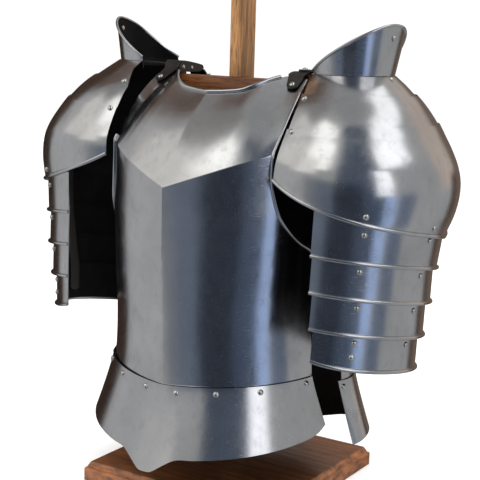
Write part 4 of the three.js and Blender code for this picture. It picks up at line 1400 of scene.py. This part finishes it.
class CUIRASS_OT_stage(bpy.types.Operator):
    """Sets the pale floor, the studio's light and the camera at the photograph's angle"""

    bl_idname = "cuirass.stage"
    bl_label = "Stage"

    def execute(self, context):
        self.floor()
        self.room(context)
        for lamp in LAMPS:
            self.softbox(context, *lamp)
        self.overhead(context)
        self.camera(context)
        context.scene.view_settings.view_transform = "Standard"
        return {"FINISHED"}

    def floor(self):
        """A pale disc with soft unevenness in its tone."""
        # Matt painted board. Its faint glow keeps it as pale as the photograph's white ground
        bpy.ops.mesh.primitive_circle_add(vertices=128, radius=FLOOR_RADIUS, fill_type="NGON")
        floor = bpy.context.object
        floor.name = "studio_floor"
        tree = new_tree("pale_floor", linear("F4F4F4"))
        cloud = pattern(tree, (400, 400, 400), Detail=2.0)
        tones = {0: cloud, 6: linear("F0F0F0"), 7: linear("F6F6F5")}
        tint = add(tree, MIX, tones, data_type="RGBA").outputs[2]
        glow = {"Emission Color": linear("FFFFFF"), "Emission Strength": FLOOR_GLOW}
        finish_tree(tree, {"Base Color": tint, "Roughness": 0.7, "Specular IOR Level": 0.2, **glow})
        floor.data.materials.append(bpy.data.materials["pale_floor"])
        floor.visible_glossy = False

    def room(self, context):
        """A white backdrop for the eye, and a room of screens and windows for the steel to mirror."""
        world = bpy.data.worlds.new("studio")
        context.scene.world = world
        world.use_nodes = True
        tree = world.node_tree
        tree.nodes.clear()
        place = add(tree, "ShaderNodeTexCoord").outputs["Generated"]
        parts = add(tree, "ShaderNodeSeparateXYZ", (place,)).outputs
        azimuth = add(tree, MATHS, (parts[1], parts[0]), operation="ARCTAN2").outputs[0]
        elevation = add(tree, MATHS, (parts[2],), operation="ARCSINE").outputs[0]

        def near(value, middle, half, soft):
            """One within half of the middle, fading to zero over a soft edge."""
            away = add(tree, MATHS, (value, radians(middle)), operation="SUBTRACT").outputs[0]
            away = add(tree, MATHS, (away, pi, -pi), operation="WRAP").outputs[0]
            away = add(tree, MATHS, (away,), operation="ABSOLUTE").outputs[0]
            fade = (away, radians(half), radians(half + soft), 1, 0)
            return add(tree, RANGE, fade, interpolation_type="SMOOTHSTEP").outputs[0]

        rising = (elevation, -1.2, 0.1, 0, 1)
        wall = add(tree, RANGE, rising, interpolation_type="SMOOTHSTEP").outputs[0]
        tones = {0: wall, 6: linear("6E7073"), 7: linear("8C8C8B")}
        room = add(tree, MIX, tones, data_type="RGBA").outputs[2]
        for around, high, wide, tall, soft, code in SCREENS:
            sides = (near(azimuth, around, wide, soft), near(elevation, high, tall, soft))
            mask = add(tree, MATHS, sides, operation="MULTIPLY").outputs[0]
            room = add(tree, MIX, {0: mask, 6: room, 7: linear(code)}, data_type="RGBA").outputs[2]
        overhead = (elevation, radians(68), radians(78), 0, 1)
        ceiling = add(tree, RANGE, overhead, interpolation_type="SMOOTHSTEP").outputs[0]
        room = add(tree, MIX, {0: ceiling, 6: room, 7: linear("7C7C7B")}, data_type="RGBA").outputs[2]
        mirrored = add(tree, "ShaderNodeBackground", (room, ROOM_STRENGTH)).outputs[0]
        white = add(tree, "ShaderNodeBackground", (linear("FFFFFF"), BACKDROP_STRENGTH)).outputs[0]
        eye = add(tree, "ShaderNodeLightPath").outputs["Is Camera Ray"]
        seen = add(tree, "ShaderNodeMixShader", (eye, mirrored, white)).outputs[0]
        add(tree, "ShaderNodeOutputWorld", {"Surface": seen})

    def softbox(self, context, name, azimuth, elevation, away, size, power):
        """A soft window that faces the armour."""
        light = bpy.data.lights.new(name, "AREA")
        light.shape = "RECTANGLE"
        light.size, light.size_y = size
        light.energy = power
        obj = bpy.data.objects.new(name, light)
        target = Vector((0, 0, 0.4))
        obj.location = target + heading_vector(azimuth, elevation) * away
        obj.rotation_euler = (target - obj.location).to_track_quat("-Z", "Y").to_euler()
        obj.visible_glossy = False
        context.scene.collection.objects.link(obj)

    def overhead(self, context):
        """A broad soft light from straight above."""
        sky = bpy.data.lights.new("overhead", "SUN")
        sky.energy = 1.6
        sky.angle = radians(120)
        lamp = bpy.data.objects.new("overhead", sky)
        lamp.visible_glossy = False
        context.scene.collection.objects.link(lamp)

    def camera(self, context):
        """The photograph's camera, turned a little about its own axis."""
        heading, pitch, roll = (radians(a) for a in (CAMERA_HEADING, CAMERA_PITCH, CAMERA_ROLL))
        right = Vector((cos(heading), sin(heading), 0))
        forward = Vector((-sin(heading) * cos(pitch), cos(heading) * cos(pitch), -sin(pitch)))
        up = right.cross(forward)
        across = right * cos(roll) + up * sin(roll)
        above = up * cos(roll) - right * sin(roll)
        data = bpy.data.cameras.new("camera")
        data.lens = CAMERA_LENS
        data.sensor_width = 36
        data.clip_end = 50
        camera = bpy.data.objects.new("camera", data)
        turn = Matrix((across, above, -forward)).transposed().to_4x4()
        camera.matrix_world = Matrix.Translation(Vector(CAMERA_PLACE) * MM) @ turn
        context.scene.collection.objects.link(camera)
        context.scene.camera = camera


class CUIRASS_PT_panel(bpy.types.Panel):
    """The cuirass's sizes and its building steps"""

    bl_idname = "CUIRASS_PT_panel"
    bl_label = "Cuirass"
    bl_space_type = "VIEW_3D"
    bl_region_type = "UI"
    bl_category = "Cuirass"

    def draw(self, context):
        settings = context.scene.cuirass
        for name in CuirassSettings.__annotations__:
            self.layout.prop(settings, name)
        for operator in STEPS:
            self.layout.operator(operator.bl_idname)


STEPS = (
    CUIRASS_OT_torso,
    CUIRASS_OT_skirts,
    CUIRASS_OT_pauldrons,
    CUIRASS_OT_leathers,
    CUIRASS_OT_stand,
    CUIRASS_OT_stage,
)
CLASSES = (CuirassSettings, *STEPS, CUIRASS_PT_panel)


def register():
    """Adds the classes and the scene's settings."""
    for item in CLASSES:
        bpy.utils.register_class(item)
    bpy.types.Scene.cuirass = bpy.props.PointerProperty(type=CuirassSettings)


def unregister():
    """Removes them again."""
    del bpy.types.Scene.cuirass
    for item in reversed(CLASSES):
        bpy.utils.unregister_class(item)


def main():
    """Registers the classes and builds everything in order."""
    register()
    bpy.ops.cuirass.torso()
    bpy.ops.cuirass.skirts()
    bpy.ops.cuirass.pauldrons()
    bpy.ops.cuirass.leathers()
    bpy.ops.cuirass.stand()
    bpy.ops.cuirass.stage()


if __name__ == "__main__":
    main()
